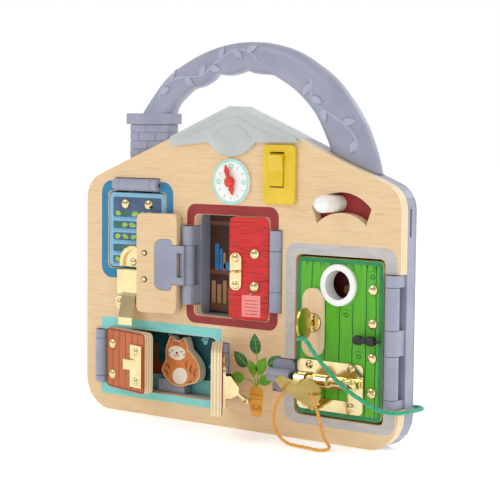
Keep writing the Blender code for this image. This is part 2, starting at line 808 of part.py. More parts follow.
def frame_lying(frame):
    """The hinge's frame turned so that an outline lies flat on the back of the leaf's board."""
    return frame @ Matrix(((1, 0, 0, 0), (0, 0, -1, 0), (0, 1, 0, 0), (0, 0, 0, 1)))


def recess_for_leaf(board, name, hinge, low, high):
    """Room in a board's back for the leaf and its neck."""
    low_end, high_end = along_pin(hinge, low, high)
    frame = hinge_frame(hinge)
    start, end, leaf_low, leaf_high = leaf_recess_places(hinge, low_end, high_end)
    inner = PLY - LEAF_THICKNESS - GAP
    plate = [
        (start - GAP, leaf_low - GAP, LEAF_CORNER / 2),
        (end + GAP, leaf_low - GAP, LEAF_CORNER),
        (end + GAP, leaf_high + GAP, LEAF_CORNER),
        (start - GAP, leaf_high + GAP, LEAF_CORNER / 2),
    ]
    outline = rounded(plate)
    cut(
        board,
        prism(name + "_leaf_room", [outline], frame_lying(frame), -PLY - OVERRUN, -inner),
        box(
            name + "_neck_room",
            (hinge.reach - OVERRUN, inner, low_end - GAP),
            (start + OVERRUN, PLY + OVERRUN, high_end + GAP),
            frame,
        ),
    )


def notch_for(panel, name, hinge, edge):
    """Room in the panel for the barrel, from behind the pin to the opening's edge or the board's side."""
    frame = hinge_frame(hinge)
    low, high = along_pin(hinge, hinge.low - NOTCH_CLEARANCE, hinge.high + NOTCH_CLEARANCE)
    back = hinge.radius + NOTCH_CLEARANCE if edge is None else edge
    cut(
        panel,
        box(
            name + "_notch",
            (-back, -OVERRUN, low),
            (hinge.reach + OVERRUN, PLY + OVERRUN, high),
            frame,
        ),
    )


HINGES = {
    "window_left": WINDOW_LEFT,
    "window_right": WINDOW_RIGHT,
    "pet_left": PET_LEFT,
    "pet_right": PET_RIGHT,
    "entry": ENTRY_HINGE,
    "shutter": SHUTTER_HINGE,
}


# Board
def board_outline():
    return rounded(
        [
            (-HALF_WIDTH, 0, FOOT_CORNER),
            (HALF_WIDTH, 0, FOOT_CORNER),
            (HALF_WIDTH, EAVES, EAVES_CORNER),
            (0, EAVES + ROOF_RISE, RIDGE_CORNER),
            (-HALF_WIDTH, EAVES, EAVES_CORNER),
        ],
        5,
    )


def panel_outline():
    flat = HALF_WIDTH * (1 - (LAMP_LEDGE - EAVES) / ROOF_RISE)
    return rounded(
        [
            (-HALF_WIDTH, 0, FOOT_CORNER),
            (HALF_WIDTH, 0, FOOT_CORNER),
            (HALF_WIDTH, EAVES, EAVES_CORNER),
            (flat, LAMP_LEDGE, 0),
            (-flat, LAMP_LEDGE, 0),
            (-HALF_WIDTH, EAVES, EAVES_CORNER),
        ],
        5,
    )


def bay(name, rect):
    past = BAY_FLOOR + OVERRUN
    return box(name, (rect.left, SHELL_FRONT - OVERRUN, rect.bottom), (rect.right, past, rect.top))


def sign_bay():
    start = math.degrees(math.asin((SIGN_BAY_FLOOR - SIGN_Z) / SIGN_BAY_RADIUS))
    outline = arc(SIGN_X, SIGN_Z, SIGN_BAY_RADIUS, start, 180 - start, SIDES)
    return slab("sign_bay", outline, SHELL_FRONT - OVERRUN, BAY_FLOOR + OVERRUN)


def make_shell():
    """The shell's frame, open behind its rooms, with the chimney and the fixed knuckles."""
    shell = slab("back_shell", board_outline(), SHELL_FRONT, BAY_FLOOR)
    stack = slab("chimney", rectangle(CHIMNEY), SHELL_FRONT, SHELL_BACK)
    cap = slab(
        "chimney_cap",
        rectangle(CHIMNEY_CAP, SOFT_EDGE * 2),
        SHELL_FRONT - CHIMNEY_CAP_OVERHANG,
        SHELL_BACK + CHIMNEY_CAP_OVERHANG,
    )
    add(shell, stack, cap)
    rooms = [("window", WINDOW), ("pet", PET), ("entry", ENTRY), ("shutter", SHUTTER)]
    rooms += [("switch", SWITCH_BAY), ("lamp", LAMP_BAY)]
    rooms += [(f"light_{index}", rect) for index, rect in enumerate(LIGHTENING_BAYS)]
    cut(shell, *[bay(name + "_bay", rect) for name, rect in rooms])
    cut(shell, sign_bay())
    stem = CLOCK_STEM + GAP * 2
    cut(shell, rod("clock_bay", (CLOCK_X, SHELL_FRONT - OVERRUN, CLOCK_Z), (CLOCK_X, 0, CLOCK_Z), stem))
    cut(
        shell,
        box(
            "battery_bay",
            (BATTERY_BAY.left, SHELL_BACK - BATTERY_BAY_DEPTH, BATTERY_BAY.bottom),
            (BATTERY_BAY.right, SHELL_BACK + OVERRUN, BATTERY_BAY.top),
        ),
    )
    for name, hinge in HINGES.items():
        shell_knuckles(shell, name, hinge)
    keeper_front = FACE - KEEPER_LIFT
    root = SHELL_FRONT + KNUCKLE_ROOT
    base = slab("keeper_base", rectangle(KEEPER, KEEPER_CORNER), keeper_front, root)
    line = FACE - BOLT_LIFT
    ends = [(x, line, BOLT_Z) for x in (KEEPER.left, KEEPER.right)]
    hood = rod("keeper_hood", ends[0], ends[1], KEEPER_HOOD, SIDES)
    add(shell, base, hood)
    bore_start = (KEEPER.left + KEEPER_END, line, BOLT_Z)
    cut(shell, rod("keeper_bore", bore_start, (KEEPER.right + OVERRUN, line, BOLT_Z), KEEPER_BORE))
    bores = [pin_rod(name + "_bore", hinge, PIN_BORE, OVERRUN) for name, hinge in HINGES.items()]
    cut(shell, gathered("hinge_bores", bores))
    return finish(shell, "shell")


def make_back_cover():
    """The plate that closes the rooms from behind, with the battery opening and the sign screw's seat."""
    cover = slab("back_cover", board_outline(), BAY_FLOOR + GAP, SHELL_BACK)
    low, high = BAY_FLOOR - OVERRUN, SHELL_BACK + OVERRUN
    rooms = {"cover_stack_room": inset(CHIMNEY, -GAP), "battery_opening": inset(BATTERY_BAY, -COVER_LIP)}
    for name, rect in rooms.items():
        cut(cover, slab(name, rectangle(rect), low, high))
    seat = (SIGN_X, SHELL_BACK - BACK_WALL / 4, SIGN_Z)
    cut(cover, rod("sign_screw_bore", (SIGN_X, low, SIGN_Z), seat, PIN_BORE))
    return finish(cover, "shell")


def make_handle():
    outer = [(x * HALF_WIDTH, z * HANDLE_TOP, 0) for x, z in HANDLE_OUTER_SHARES]
    inner = [(x * HALF_WIDTH, z * HANDLE_TOP, 0) for x, z in HANDLE_INNER_SHARES]
    cap_top = CHIMNEY_CAP.top + GAP
    outer[0] = (outer[0][0], cap_top, 0)
    inner[-1] = (inner[-1][0], cap_top, 0)
    outer[-1] = (outer[-1][0], roof(outer[-1][0]) + GAP, 0)
    inner[0] = (inner[0][0], roof(inner[0][0]) + GAP, 0)
    outline = [(x, z) for x, z, _ in smooth(outer, 2) + smooth(inner, 2)]
    half = HANDLE_DEPTH / 2
    handle = prism("carry_handle", [outline], facing(), FACE - half, FACE + half, 0)
    bevel = handle.modifiers.new("Round", "BEVEL")
    bevel.width = HANDLE_EDGE
    bevel.segments = 2
    bevel.limit_method = "ANGLE"
    bevel.angle_limit = math.radians(60)
    return finish(handle, "shell")


def make_panel():
    panel = slab("front_panel", panel_outline(), FACE, PLY_BACK)
    for name, rect in [("window", WINDOW), ("pet", PET), ("entry", ENTRY), ("shutter", SHUTTER)]:
        outline = rectangle(rect, OPENING_CORNER, 2)
        cut(panel, slab(name + "_opening", outline, FACE - OVERRUN, PLY_BACK + OVERRUN))
    for name, hinge in HINGES.items():
        edge = HALF_WIDTH - hinge.x + OVERRUN if name == "entry" else None
        notch_for(panel, name, hinge, edge)
    keeper = inset(KEEPER, -NOTCH_CLEARANCE)
    cut(panel, slab("keeper_notch", rectangle(keeper), FACE - OVERRUN, PLY_BACK + OVERRUN))
    cut(panel, slab("switch_opening", rectangle(SWITCH_HOLE), FACE - OVERRUN, PLY_BACK + OVERRUN))
    cut(panel, shank_hole("clock_hole", CLOCK_X, CLOCK_Z, CLOCK_STEM + GAP))
    outer_z = SIGN_Z + SIGN_OUTER_LIFT
    inner_z = SIGN_Z - SIGN_INNER_DROP
    crescent = arc(
        SIGN_X, outer_z, SIGN_OUTER_RADIUS, 90 - SIGN_OUTER_ANGLE, 90 + SIGN_OUTER_ANGLE, SIDES
    )
    crescent += arc(
        SIGN_X, inner_z, SIGN_INNER_RADIUS, 90 + SIGN_INNER_ANGLE, 90 - SIGN_INNER_ANGLE, SIDES
    )
    cut(panel, slab("sign_slot", crescent, FACE - OVERRUN, PLY_BACK + OVERRUN))
    cut(panel, shank_hole("latch_ear_hole", LATCH_EAR_RIVET_X, middle_z(LATCH_EAR)))
    return finish(panel, "ply")


def middle_z(rect):
    return (rect.bottom + rect.top) / 2


def make_battery_cover():
    rect = inset(BATTERY_BAY, -COVER_LIP + GAP)
    cover = slab("battery_cover", rectangle(rect, SOFT_EDGE), BAY_FLOOR + GAP, SHELL_BACK)
    return finish(cover, "shell")


# Lamp
def lamp_outline():
    outline = [(-LAMP_TIP, LAMP_TIP_HEIGHT)]
    crown_z = LAMP_TOP - LAMP_CROWN_RADIUS
    outline += arc(0, crown_z, LAMP_CROWN_RADIUS, 90 + LAMP_CROWN_ANGLE, 90 - LAMP_CROWN_ANGLE, 4)
    outline += [(LAMP_TIP, LAMP_TIP_HEIGHT)]
    spread = math.degrees(math.asin(LAMP_LOBE_HALF / LAMP_LOBE_RADIUS))
    outline += arc(0, LAMP_LOBE_CENTRE, LAMP_LOBE_RADIUS, -90 + spread, -90 - spread, SIDES // 2)
    outline += [(-LAMP_DIP, LAMP_DIP_HEIGHT)]
    return outline


def make_lamp():
    cover = mount("lamp_cover", lamp_outline(), GAP, LAMP_PROUD)
    flat = HALF_WIDTH * (1 - (LAMP_LEDGE - EAVES) / ROOF_RISE) - GAP * 3
    crown = [
        (-flat, LAMP_LEDGE + GAP, 0),
        (flat, LAMP_LEDGE + GAP, 0),
        (0, LAMP_TOP, RIDGE_CORNER),
    ]
    add(cover, slab("lamp_crown", rounded(crown), FACE - LAMP_PROUD / 2, PLY_BACK))
    room = [
        (-flat + LAMP_ROOM_INSET, LAMP_LEDGE + LAMP_WALL + GAP, 0),
        (flat - LAMP_ROOM_INSET, LAMP_LEDGE + LAMP_WALL + GAP, 0),
        (0, LAMP_TOP - LAMP_WALL, RIDGE_CORNER),
    ]
    cut(cover, slab("lamp_room", rounded(room), FACE - LAMP_PROUD + LAMP_WALL, PLY_BACK + OVERRUN))
    finish(cover, "lamp")
    rect = inset(LAMP_BAY, GAP * 2)
    back = BAY_FLOOR - GAP
    front = back - LAMP_BOARD_THICKNESS
    circuit = slab("lamp_board", rectangle(rect), front, back)
    bulb_z = LAMP_LEDGE + BULB_RADIUS * 2
    bulb_end = (0, FACE + PLY / 2, bulb_z)
    add(circuit, rod("bulb", (0, back - WELD, bulb_z), bulb_end, BULB_RADIUS))
    finish(circuit, "board")


# Clock
def make_clock():
    stem_back = PLY - OVERRUN
    dome = [
        (CLOCK_CAP_RADIUS * math.sin(turn), CLOCK_CAP_LIFT + CLOCK_CAP_HEIGHT * math.cos(turn))
        for turn in (math.pi / 2 * step / DOME_STEPS for step in range(DOME_STEPS + 1))
    ]
    inner = CLOCK_RADIUS - CLOCK_RIM
    profile = dome + [
        (CLOCK_PIN, CLOCK_CAP_LIFT),
        (CLOCK_PIN, CLOCK_DIAL_HEIGHT),
        (inner, CLOCK_DIAL_HEIGHT),
        (inner + SOFT_EDGE, CLOCK_RIM_HEIGHT),
        (CLOCK_RADIUS, CLOCK_RIM_HEIGHT),
        (CLOCK_RADIUS, GAP),
        (CLOCK_STEM, GAP),
        (CLOCK_STEM, -stem_back),
        (0, -stem_back),
    ]
    finish(turned("clock_dial", profile, facing(CLOCK_X, CLOCK_Z), SIDES * 2), "dial")


def make_hand(name, lift, length, width, angle):
    """A hand pointing up about its hub, then turned by the angle, counter-clockwise seen from the front."""
    frame = facing(CLOCK_X, CLOCK_Z) @ Matrix.Rotation(math.radians(angle), 4, "Z")
    start = math.degrees(math.acos(width / 4 / HAND_HUB))
    outline = arc(0, 0, HAND_HUB, start, -360 + 180 - start, SIDES)
    outline += [
        (-width / 2, length - width),
        (0, length),
        (width / 2, length - width),
    ]
    hand = prism(name, [outline, circle(0, 0, HAND_BORE, SMALL_SIDES)], frame, lift, lift + HAND_THICKNESS)
    return finish(hand, "hands")


# Switch
def make_switch():
    plate = mount(
        "switch_plate",
        rectangle(SWITCH_PLATE, SWITCH_PLATE_CORNER),
        GAP,
        GAP + SWITCH_PLATE_THICKNESS,
        SOFT_EDGE,
    )
    high = GAP + SWITCH_PLATE_THICKNESS + OVERRUN
    cut(plate, mount("switch_plate_hole", rectangle(SWITCH_HOLE), GAP - OVERRUN, high))
    finish(plate, "yellow")
    x = (SWITCH_HOLE.left + SWITCH_HOLE.right) / 2
    z = middle_z(SWITCH_HOLE)
    half = (SWITCH_HOLE.top - SWITCH_HOLE.bottom) / 2 - ROCKER_CLEARANCE * 2
    outline = [
        (ROCKER_SHOULDER, -half),
        (ROCKER_HEIGHT, -half + ROCKER_END),
        (ROCKER_DIP, 0),
        (ROCKER_HEIGHT, half - ROCKER_END),
        (ROCKER_SHOULDER, half),
        (-ROCKER_TAIL, half * ROCKER_TAIL_SHARE),
        (-ROCKER_TAIL, -half * ROCKER_TAIL_SHARE),
    ]
    width = (SWITCH_HOLE.right - SWITCH_HOLE.left) / 2 - ROCKER_CLEARANCE
    rocker = prism("switch_rocker", [outline], edgeways(x, z), -width, width)
    axis = pivot("rocker_axis", (x, FACE + ROCKER_AXIS_DEPTH, z))
    finish(rocker, "yellow", axis)
    axis.rotation_euler.x = math.radians(ROCKER_REST_ANGLE)


# Sign
def make_sign():
    axis = pivot("sign_axis", (SIGN_X, SHELL_FRONT, SIGN_Z))
    back = SHELL_FRONT + SIGN_PLATE_DEPTH + SIGN_PLATE_THICKNESS
    front = SHELL_FRONT + SIGN_PLATE_DEPTH
    outline = arc(
        SIGN_X, SIGN_Z, SIGN_PLATE_RADIUS, 90 - SIGN_PLATE_ANGLE, 90 + SIGN_PLATE_ANGLE, SIDES
    )
    outline += arc(SIGN_X, SIGN_Z, SIGN_HUB, 90 + SIGN_PLATE_ANGLE, 450 - SIGN_PLATE_ANGLE, 6)
    peg_z = SIGN_Z + PEG_PATH
    places = [(SIGN_Z, PIN_BORE), (peg_z, PEG_STEM_HOLE)]
    holes = [circle(SIGN_X, z, radius, SMALL_SIDES) for z, radius in places]
    plate = slab("sign_sector", outline, front, back, 0, holes)
    finish(plate, "sign", axis)
    tip = PEG_RADIUS
    neck = SHELL_FRONT - FACE + SIGN_PLATE_DEPTH
    profile = [
        (tip * math.sin(turn), PEG_REACH - tip + tip * math.cos(turn))
        for turn in (math.pi / 2 * step / 5 for step in range(6))
    ]
    profile += [
        (PEG_RADIUS, -neck + GAP),
        (PEG_STEM, -neck + GAP),
        (PEG_STEM, -neck - SIGN_PLATE_THICKNESS - GAP),
        (PEG_FLANGE, -neck - SIGN_PLATE_THICKNESS - GAP),
        (PEG_FLANGE, -neck - SIGN_PLATE_THICKNESS - GAP - PEG_FLANGE_THICKNESS),
        (0, -neck - SIGN_PLATE_THICKNESS - GAP - PEG_FLANGE_THICKNESS),
    ]
    finish(turned("sign_peg", profile, facing(SIGN_X, peg_z)), "white", axis)
    axis.rotation_euler.y = -math.radians(SIGN_REST_ANGLE)
    head = front - GAP - SOFT_EDGE * 2
    screw = rod("sign_screw", (SIGN_X, head, SIGN_Z), (SIGN_X, front - GAP, SIGN_Z), SIGN_SCREW_HEAD)
    shank_start = (SIGN_X, front - GAP - SOFT_EDGE, SIGN_Z)
    shank_end = (SIGN_X, SHELL_BACK - BACK_WALL / 4 - GAP, SIGN_Z)
    add(screw, rod("sign_screw_shank", shank_start, shank_end, PIN_RADIUS))
    finish(screw, "steel")


# Doors
def door_board(name, rect, rivets, hinges):
    """A door's board with its shank holes and the rooms for its hinge leaves."""
    board = slab(name, rectangle(rect, OPENING_CORNER, 2), FACE, PLY_BACK, SOFT_EDGE)
    for index, (x, z) in enumerate(rivets):
        cut(board, shank_hole(f"{name}_hole_{index}", x, z))
    for index, (hinge, low, high) in enumerate(hinges):
        recess_for_leaf(board, f"{name}_{index}", hinge, low, high)
    return board


def rivet_pair(hinge, inset_from_pin, places):
    sign = 1 if hinge.side == "right" else -1
    return [(hinge.x + sign * inset_from_pin, z) for z in places]


def pin(name, hinge):
    return finish(pin_rod(name, hinge, PIN_RADIUS, -GAP * 2), "steel")


def make_shutter():
    """The top-hinged shutter with its hinge leaf and the arched catch of the toggle latch."""
    axis = hinge_pivot("shutter_axis", SHUTTER_HINGE)
    rect = inset(SHUTTER, SHUTTER_CLEARANCE)
    rect = rect._replace(top=SHUTTER_HINGE.z - SHUTTER_HINGE.reach)
    (low, high), = SHUTTER_HINGE.leaves
    middle = (low + high) / 2
    spread = (high - low) / 2 - RIVET_RADIUS
    rivet_z = rect.top - RIVET_RADIUS * 2 - SOFT_EDGE * 2
    rivets = [(middle - spread, rivet_z), (middle + spread, rivet_z)]
    board = door_board("shutter_board", rect, rivets, [(SHUTTER_HINGE, low, high)])
    finish(board, "blue", axis)
    finish(hinge_leaf("shutter_leaf", SHUTTER_HINGE, low, high, rivets), "shell", axis)
    pin("shutter_pin", SHUTTER_HINGE)
    half = LATCH_WIDTH / 2
    arch = [(LATCH_X + half, CATCH_BOTTOM)]
    arch += arc(LATCH_X, CATCH_TOP - half, half, 0, 180, SIDES // 2)
    arch += [(LATCH_X - half, CATCH_BOTTOM)]
    catch = mount("shutter_catch", arch, GAP, GAP + CATCH_THICKNESS, SOFT_EDGE)
    inner = half - CATCH_RIM
    hollow = [(LATCH_X + inner, CATCH_BOTTOM - OVERRUN)]
    hollow += arc(LATCH_X, CATCH_TOP - half, inner, 0, 180, SIDES // 2)
    hollow += [(LATCH_X - inner, CATCH_BOTTOM - OVERRUN)]
    cut(catch, mount("catch_hollow", hollow, GAP + CATCH_FLOOR, GAP + CATCH_THICKNESS + OVERRUN))
    stud_z = CATCH_TOP - half
    add(catch, rivet("catch_rivet", LATCH_X, stud_z, GAP + CATCH_FLOOR / 2, SMALL_RIVET_RADIUS))
    cut(board, shank_hole("catch_hole", LATCH_X, stud_z))
    finish(catch, "brass", axis)


def make_latch():
    """The toggle latch's base on the board, and its lever."""
    base = mount("latch_base", rectangle(LATCH_BASE, SOFT_EDGE * 2), GAP, GAP + LATCH_BASE_THICKNESS)
    ear = mount("latch_ear", rectangle(LATCH_EAR, OPENING_CORNER), GAP, GAP + LATCH_BASE_THICKNESS)
    add(base, ear)
    ear_z = middle_z(LATCH_EAR)
    seat = GAP + LATCH_BASE_THICKNESS / 2
    add(base, rivet("latch_ear_rivet", LATCH_EAR_RIVET_X, ear_z, seat, SMALL_RIVET_RADIUS))
    lug_inner = LATCH_BARREL_WIDTH / 2 + GAP
    lug_outer = lug_inner + LATCH_SHEET
    lug = [
        (GAP, LATCH_AXIS_Z - LUG_FOOT),
        (LATCH_AXIS_LIFT, LATCH_AXIS_Z - LATCH_BARREL),
        (LATCH_AXIS_LIFT + LATCH_PIN, LATCH_AXIS_Z),
        (LATCH_AXIS_LIFT, LATCH_AXIS_Z + LUG_TOP),
        (GAP, LATCH_AXIS_Z),
    ]
    for index, (low, high) in enumerate([(-lug_outer, -lug_inner), (lug_inner, lug_outer)]):
        add(base, prism(f"latch_lug_{index}", [lug], edgeways(LATCH_X), low, high))
    line = FACE - LATCH_AXIS_LIFT
    ends = [(LATCH_X + way * (lug_inner + GAP), line, LATCH_AXIS_Z) for way in (-1, 1)]
    add(base, rod("latch_pin", ends[0], ends[1], LATCH_PIN))
    finish(base, "brass")

    axis = pivot("latch_axis", (LATCH_X, line, LATCH_AXIS_Z))
    sheet = LATCH_AXIS_LIFT + LATCH_PIN + GAP
    top = LATCH_AXIS_Z + LATCH_PIN
    plate_outline = [
        (sheet, top),
        (sheet + LATCH_SHEET, top),
        (sheet + LATCH_SHEET, LATCH_PLATE_BOTTOM),
        (sheet, LATCH_PLATE_BOTTOM),
    ]
    half = LATCH_WIDTH / 2
    lever = prism("latch_lever", [plate_outline], edgeways(LATCH_X), -half, half)
    tongue = [
        (sheet, LATCH_PLATE_BOTTOM + LATCH_SHEET),
        (sheet + LATCH_SHEET, LATCH_PLATE_BOTTOM + LATCH_SHEET),
        (sheet + LATCH_SHEET * 2, LATCH_PLATE_BOTTOM - LATCH_SHEET),
        (TONGUE_LIFT, TONGUE_BOTTOM + TONGUE_TIP),
        (TONGUE_LIFT, TONGUE_BOTTOM),
        (TONGUE_LIFT - LATCH_SHEET, TONGUE_BOTTOM),
        (TONGUE_LIFT - LATCH_SHEET * 2, TONGUE_BOTTOM + TONGUE_TIP),
        (sheet + LATCH_SHEET / 2, LATCH_PLATE_BOTTOM - LATCH_SHEET),
    ]
    add(lever, prism("latch_tongue", [tongue], edgeways(LATCH_X), -TONGUE_WIDTH / 2, TONGUE_WIDTH / 2))
    reach = LATCH_BARREL_WIDTH / 2
    ends = [(LATCH_X + way * reach, line, LATCH_AXIS_Z) for way in (-1, 1)]
    add(lever, rod("latch_barrel", ends[0], ends[1], LATCH_BARREL))
    past = [(LATCH_X + way * (reach + OVERRUN), line, LATCH_AXIS_Z) for way in (-1, 1)]
    cut(lever, rod("latch_bore", past[0], past[1], LATCH_BARREL_BORE))
    finish(lever, "brass", axis)


def make_windows():
    (low, high), = WINDOW_LEFT.leaves
    left_axis = hinge_pivot("window_left_axis", WINDOW_LEFT)
    rect = inset(WINDOW, WINDOW_CLEARANCE)
    left = rect._replace(left=WINDOW_LEFT.x + WINDOW_LEFT.reach, right=-LEAF_MEETING)
    rivet_reach = WINDOW_LEFT.reach + LEAF_SPREAD + LEAF_LENGTH / 2
    quarter = (high - low) / 2 - SHANK * 2
    middle = (low + high) / 2
    rivet_heights = (middle + quarter, middle - quarter)
    rivets = rivet_pair(WINDOW_LEFT, rivet_reach, rivet_heights)
    plate_x = left.right - HOOK_PLATE_INSET
    plate_heights = (STAPLE_TOP - STAPLE_RIVET_INSET, STAPLE_BOTTOM + STAPLE_RIVET_INSET)
    holes = rivets + [(plate_x, z) for z in plate_heights]
    board = door_board("window_left_board", left, holes, [(WINDOW_LEFT, low, high)])
    finish(board, "red", left_axis)
    finish(hinge_leaf("window_left_leaf", WINDOW_LEFT, low, high, rivets), "shell", left_axis)
    pin("window_left_pin", WINDOW_LEFT)
    half = STAPLE_WIDTH / 2
    plate_rect = Rect(plate_x - half, plate_x + half, STAPLE_BOTTOM, STAPLE_TOP)
    plate = mount("hook_plate", rectangle(plate_rect, half - SOFT_EDGE), GAP, GAP + STAPLE_THICKNESS)
    for index, z in enumerate(plate_heights):
        through = PLY + SOFT_EDGE * 2
        add(plate, rivet(f"hook_plate_screw_{index}", plate_x, z, GAP + STAPLE_THICKNESS / 2,
                         SMALL_RIVET_RADIUS, SMALL_RIVET_HEIGHT, through))
    hook_z = middle_z(plate_rect)
    post_end = (plate_x, FACE - HOOK_POST_HEIGHT, hook_z)
    add(plate, rod("hook_post", (plate_x, FACE - GAP - STAPLE_THICKNESS / 2, hook_z), post_end, HOOK_POST))
    finish(plate, "brass", left_axis)
    line = FACE - HOOK_LIFT
    hook_axis = pivot("window_hook_axis", (plate_x, line, hook_z), left_axis)
    ends = [(plate_x, line + way * HOOK_WIRE, hook_z) for way in (-1, 1)]
    collar = rod("window_hook", ends[0], ends[1], HOOK_COLLAR)
    bottom = hook_z - HOOK_LENGTH
    arm_start = (plate_x, line, hook_z - HOOK_COLLAR_BORE)
    arm = rod("hook_arm", arm_start, (plate_x, line, bottom), HOOK_WIRE * HOOK_ARM_SHARE)
    add(collar, arm)
    add(collar, ball("hook_tip", (plate_x, line, bottom), HOOK_WIRE * HOOK_TIP_SHARE))
    past = [(plate_x, line + way * (HOOK_WIRE + OVERRUN), hook_z) for way in (-1, 1)]
    cut(collar, rod("hook_bore", past[0], past[1], HOOK_COLLAR_BORE))
    finish(collar, "brass", hook_axis)

    right_axis = hinge_pivot("window_right_axis", WINDOW_RIGHT)
    right = rect._replace(left=LEAF_MEETING, right=WINDOW_RIGHT.x - WINDOW_RIGHT.reach)
    rivets = rivet_pair(WINDOW_RIGHT, rivet_reach, rivet_heights)
    staple_x = right.left + STAPLE_INSET
    holes = rivets + [(staple_x, z) for z in plate_heights]
    board = door_board("window_right_board", right, holes, [(WINDOW_RIGHT, low, high)])
    finish(board, "red", right_axis)
    finish(hinge_leaf("window_right_leaf", WINDOW_RIGHT, low, high, rivets), "shell", right_axis)
    pin("window_right_pin", WINDOW_RIGHT)
    staple_rect = Rect(staple_x - half, staple_x + half, STAPLE_BOTTOM, STAPLE_TOP)
    staple = mount("staple_plate", rectangle(staple_rect, half - SOFT_EDGE), GAP, GAP + STAPLE_THICKNESS)
    for index, z in enumerate(plate_heights):
        add(staple, rivet(f"staple_rivet_{index}", staple_x, z, GAP + STAPLE_THICKNESS / 2,
                          SMALL_RIVET_RADIUS, SMALL_RIVET_HEIGHT))
    wire = arc(0, 0, EYE_RADIUS, 0, 360, SMALL_SIDES)[:-1]
    eye = tube_ring("staple_eye", wire, facing(staple_x, hook_z) @ Matrix.Translation((0, 0, EYE_LIFT)))
    add(staple, eye)
    finish(staple, "brass", right_axis)
    left_axis.rotation_euler.z = -math.radians(WINDOW_LEFT_OPEN_ANGLE)
    right_axis.rotation_euler.z = math.radians(WINDOW_RIGHT_OPEN_ANGLE)


def tube_ring(name, wire, frame):
    """A closed ring of wire that stands on the board's face, lying across it."""
    curve = bpy.data.curves.new(name, "CURVE")
    curve.dimensions = "3D"
    curve.bevel_depth = EYE_WIRE
    curve.bevel_resolution = 1
    spline = curve.splines.new("POLY")
    spline.points.add(len(wire) - 1)
    for point, (x, y) in zip(spline.points, wire):
        point.co = (x, 0, y, 1)
    spline.use_cyclic_u = True
    guide = bpy.data.objects.new(name + "_line", curve)
    guide.matrix_world = frame
    return solid_from(guide, name)


# Entry door
def make_entry():
    axis = hinge_pivot("entry_axis", ENTRY_HINGE)
    rect = inset(ENTRY, ENTRY_CLEARANCE)
    rect = rect._replace(left=rect.left + SOFT_EDGE, right=ENTRY_HINGE.x - ENTRY_HINGE.reach)
    reach = ENTRY_HINGE.reach + LEAF_SPREAD + LEAF_LENGTH / 4
    pairs = []
    for low, high in ENTRY_HINGE.leaves:
        middle = (low + high) / 2
        spread = (high - low) / 2 - SHANK * 2
        pairs.append(rivet_pair(ENTRY_HINGE, reach, (middle + spread, middle - spread)))
    holes = [place for pair in pairs for place in pair] + BOLT_RIVETS
    leaves = [(ENTRY_HINGE, low, high) for low, high in ENTRY_HINGE.leaves]
    board = door_board("entry_board", rect, holes, leaves)
    cut(board, shank_hole("porthole_hole", PORTHOLE_X, PORTHOLE_Z, PORTHOLE_SLEEVE + GAP * 2, SIDES * 2))
    cut(board, shank_hole("lock_hole", LOCK_X, LOCK_Z, LOCK_BODY + LOCK_CLEARANCE, SIDES))
    cut(board, shank_hole("heart_peg_hole", HEART_X, HEART_TIP_Z, HEART_PEG_HOLE))
    cut(board, shank_hole("stop_foot_hole", (STOP_LEFT + STOP_RIGHT) / 2, STOP_Z))
    finish(board, "green", axis)
    for name, (low, high), pair in zip(("lower", "upper"), ENTRY_HINGE.leaves, pairs):
        finish(hinge_leaf(f"entry_leaf_{name}", ENTRY_HINGE, low, high, pair), "shell", axis)
    pin("entry_pin", ENTRY_HINGE)

    ring = [
        (PORTHOLE_INNER, PORTHOLE_PROUD),
        (PORTHOLE_OUTER - SOFT_EDGE, PORTHOLE_PROUD),
        (PORTHOLE_OUTER, PORTHOLE_PROUD - SOFT_EDGE),
        (PORTHOLE_OUTER, GAP),
        (PORTHOLE_SLEEVE, GAP),
        (PORTHOLE_SLEEVE, -PLY + GAP),
        (PORTHOLE_INNER, -PLY + GAP),
    ]
    finish(turned("porthole_ring", ring, facing(PORTHOLE_X, PORTHOLE_Z), SIDES * 2, True), "white", axis)

    corner = (KEY_PLATE.right - KEY_PLATE.left) / 2 - SOFT_EDGE
    hole = circle(LOCK_X, LOCK_Z, LOCK_RADIUS + LOCK_CLEARANCE)
    high = GAP + KEY_PLATE_THICKNESS
    key_plate = mount("key_plate", rectangle(KEY_PLATE, corner, 5), GAP, high, 0, [hole])
    finish(key_plate, "ply", axis)

    barrel = [
        (KEYWAY, LOCK_PROUD),
        (LOCK_RADIUS - SOFT_EDGE, LOCK_PROUD),
        (LOCK_RADIUS, LOCK_PROUD - SOFT_EDGE),
        (LOCK_RADIUS, GAP),
        (LOCK_BODY, GAP),
        (LOCK_BODY, -PLY + GAP),
        (0, -PLY + GAP),
        (0, LOCK_PROUD - KEYWAY_DEPTH),
        (KEYWAY, LOCK_PROUD - KEYWAY_DEPTH),
    ]
    finish(turned("lock_cylinder", barrel, facing(LOCK_X, LOCK_Z), SIDES, True), "brass", axis)

    key_axis = pivot("key_axis", (LOCK_X, FACE, LOCK_Z), axis)
    shank = rod(
        "lock_key",
        (LOCK_X, FACE + KEYWAY_DEPTH - LOCK_PROUD - KEY_SHANK_DEPTH, LOCK_Z),
        (LOCK_X, FACE - KEY_BOW_NEAR - OVERRUN, LOCK_Z),
        KEY_SHANK,
    )
    bow = oval((KEY_BOW_NEAR + KEY_BOW_FAR) / 2, LOCK_Z, (KEY_BOW_FAR - KEY_BOW_NEAR) / 2, KEY_BOW_HALF)
    half = KEY_THICKNESS / 2
    add(shank, prism("key_bow", [bow], edgeways(LOCK_X), -half, half))
    finish(shank, "bronze", key_axis)

    make_bolt(axis)
    make_heart(axis)
    make_stop(axis)


def oval(x, y, half_width, half_height, sides=SIDES):
    return [
        (x + half_width * math.cos(turn), y + half_height * math.sin(turn))
        for turn in (2 * math.pi * step / sides for step in range(sides))
    ]


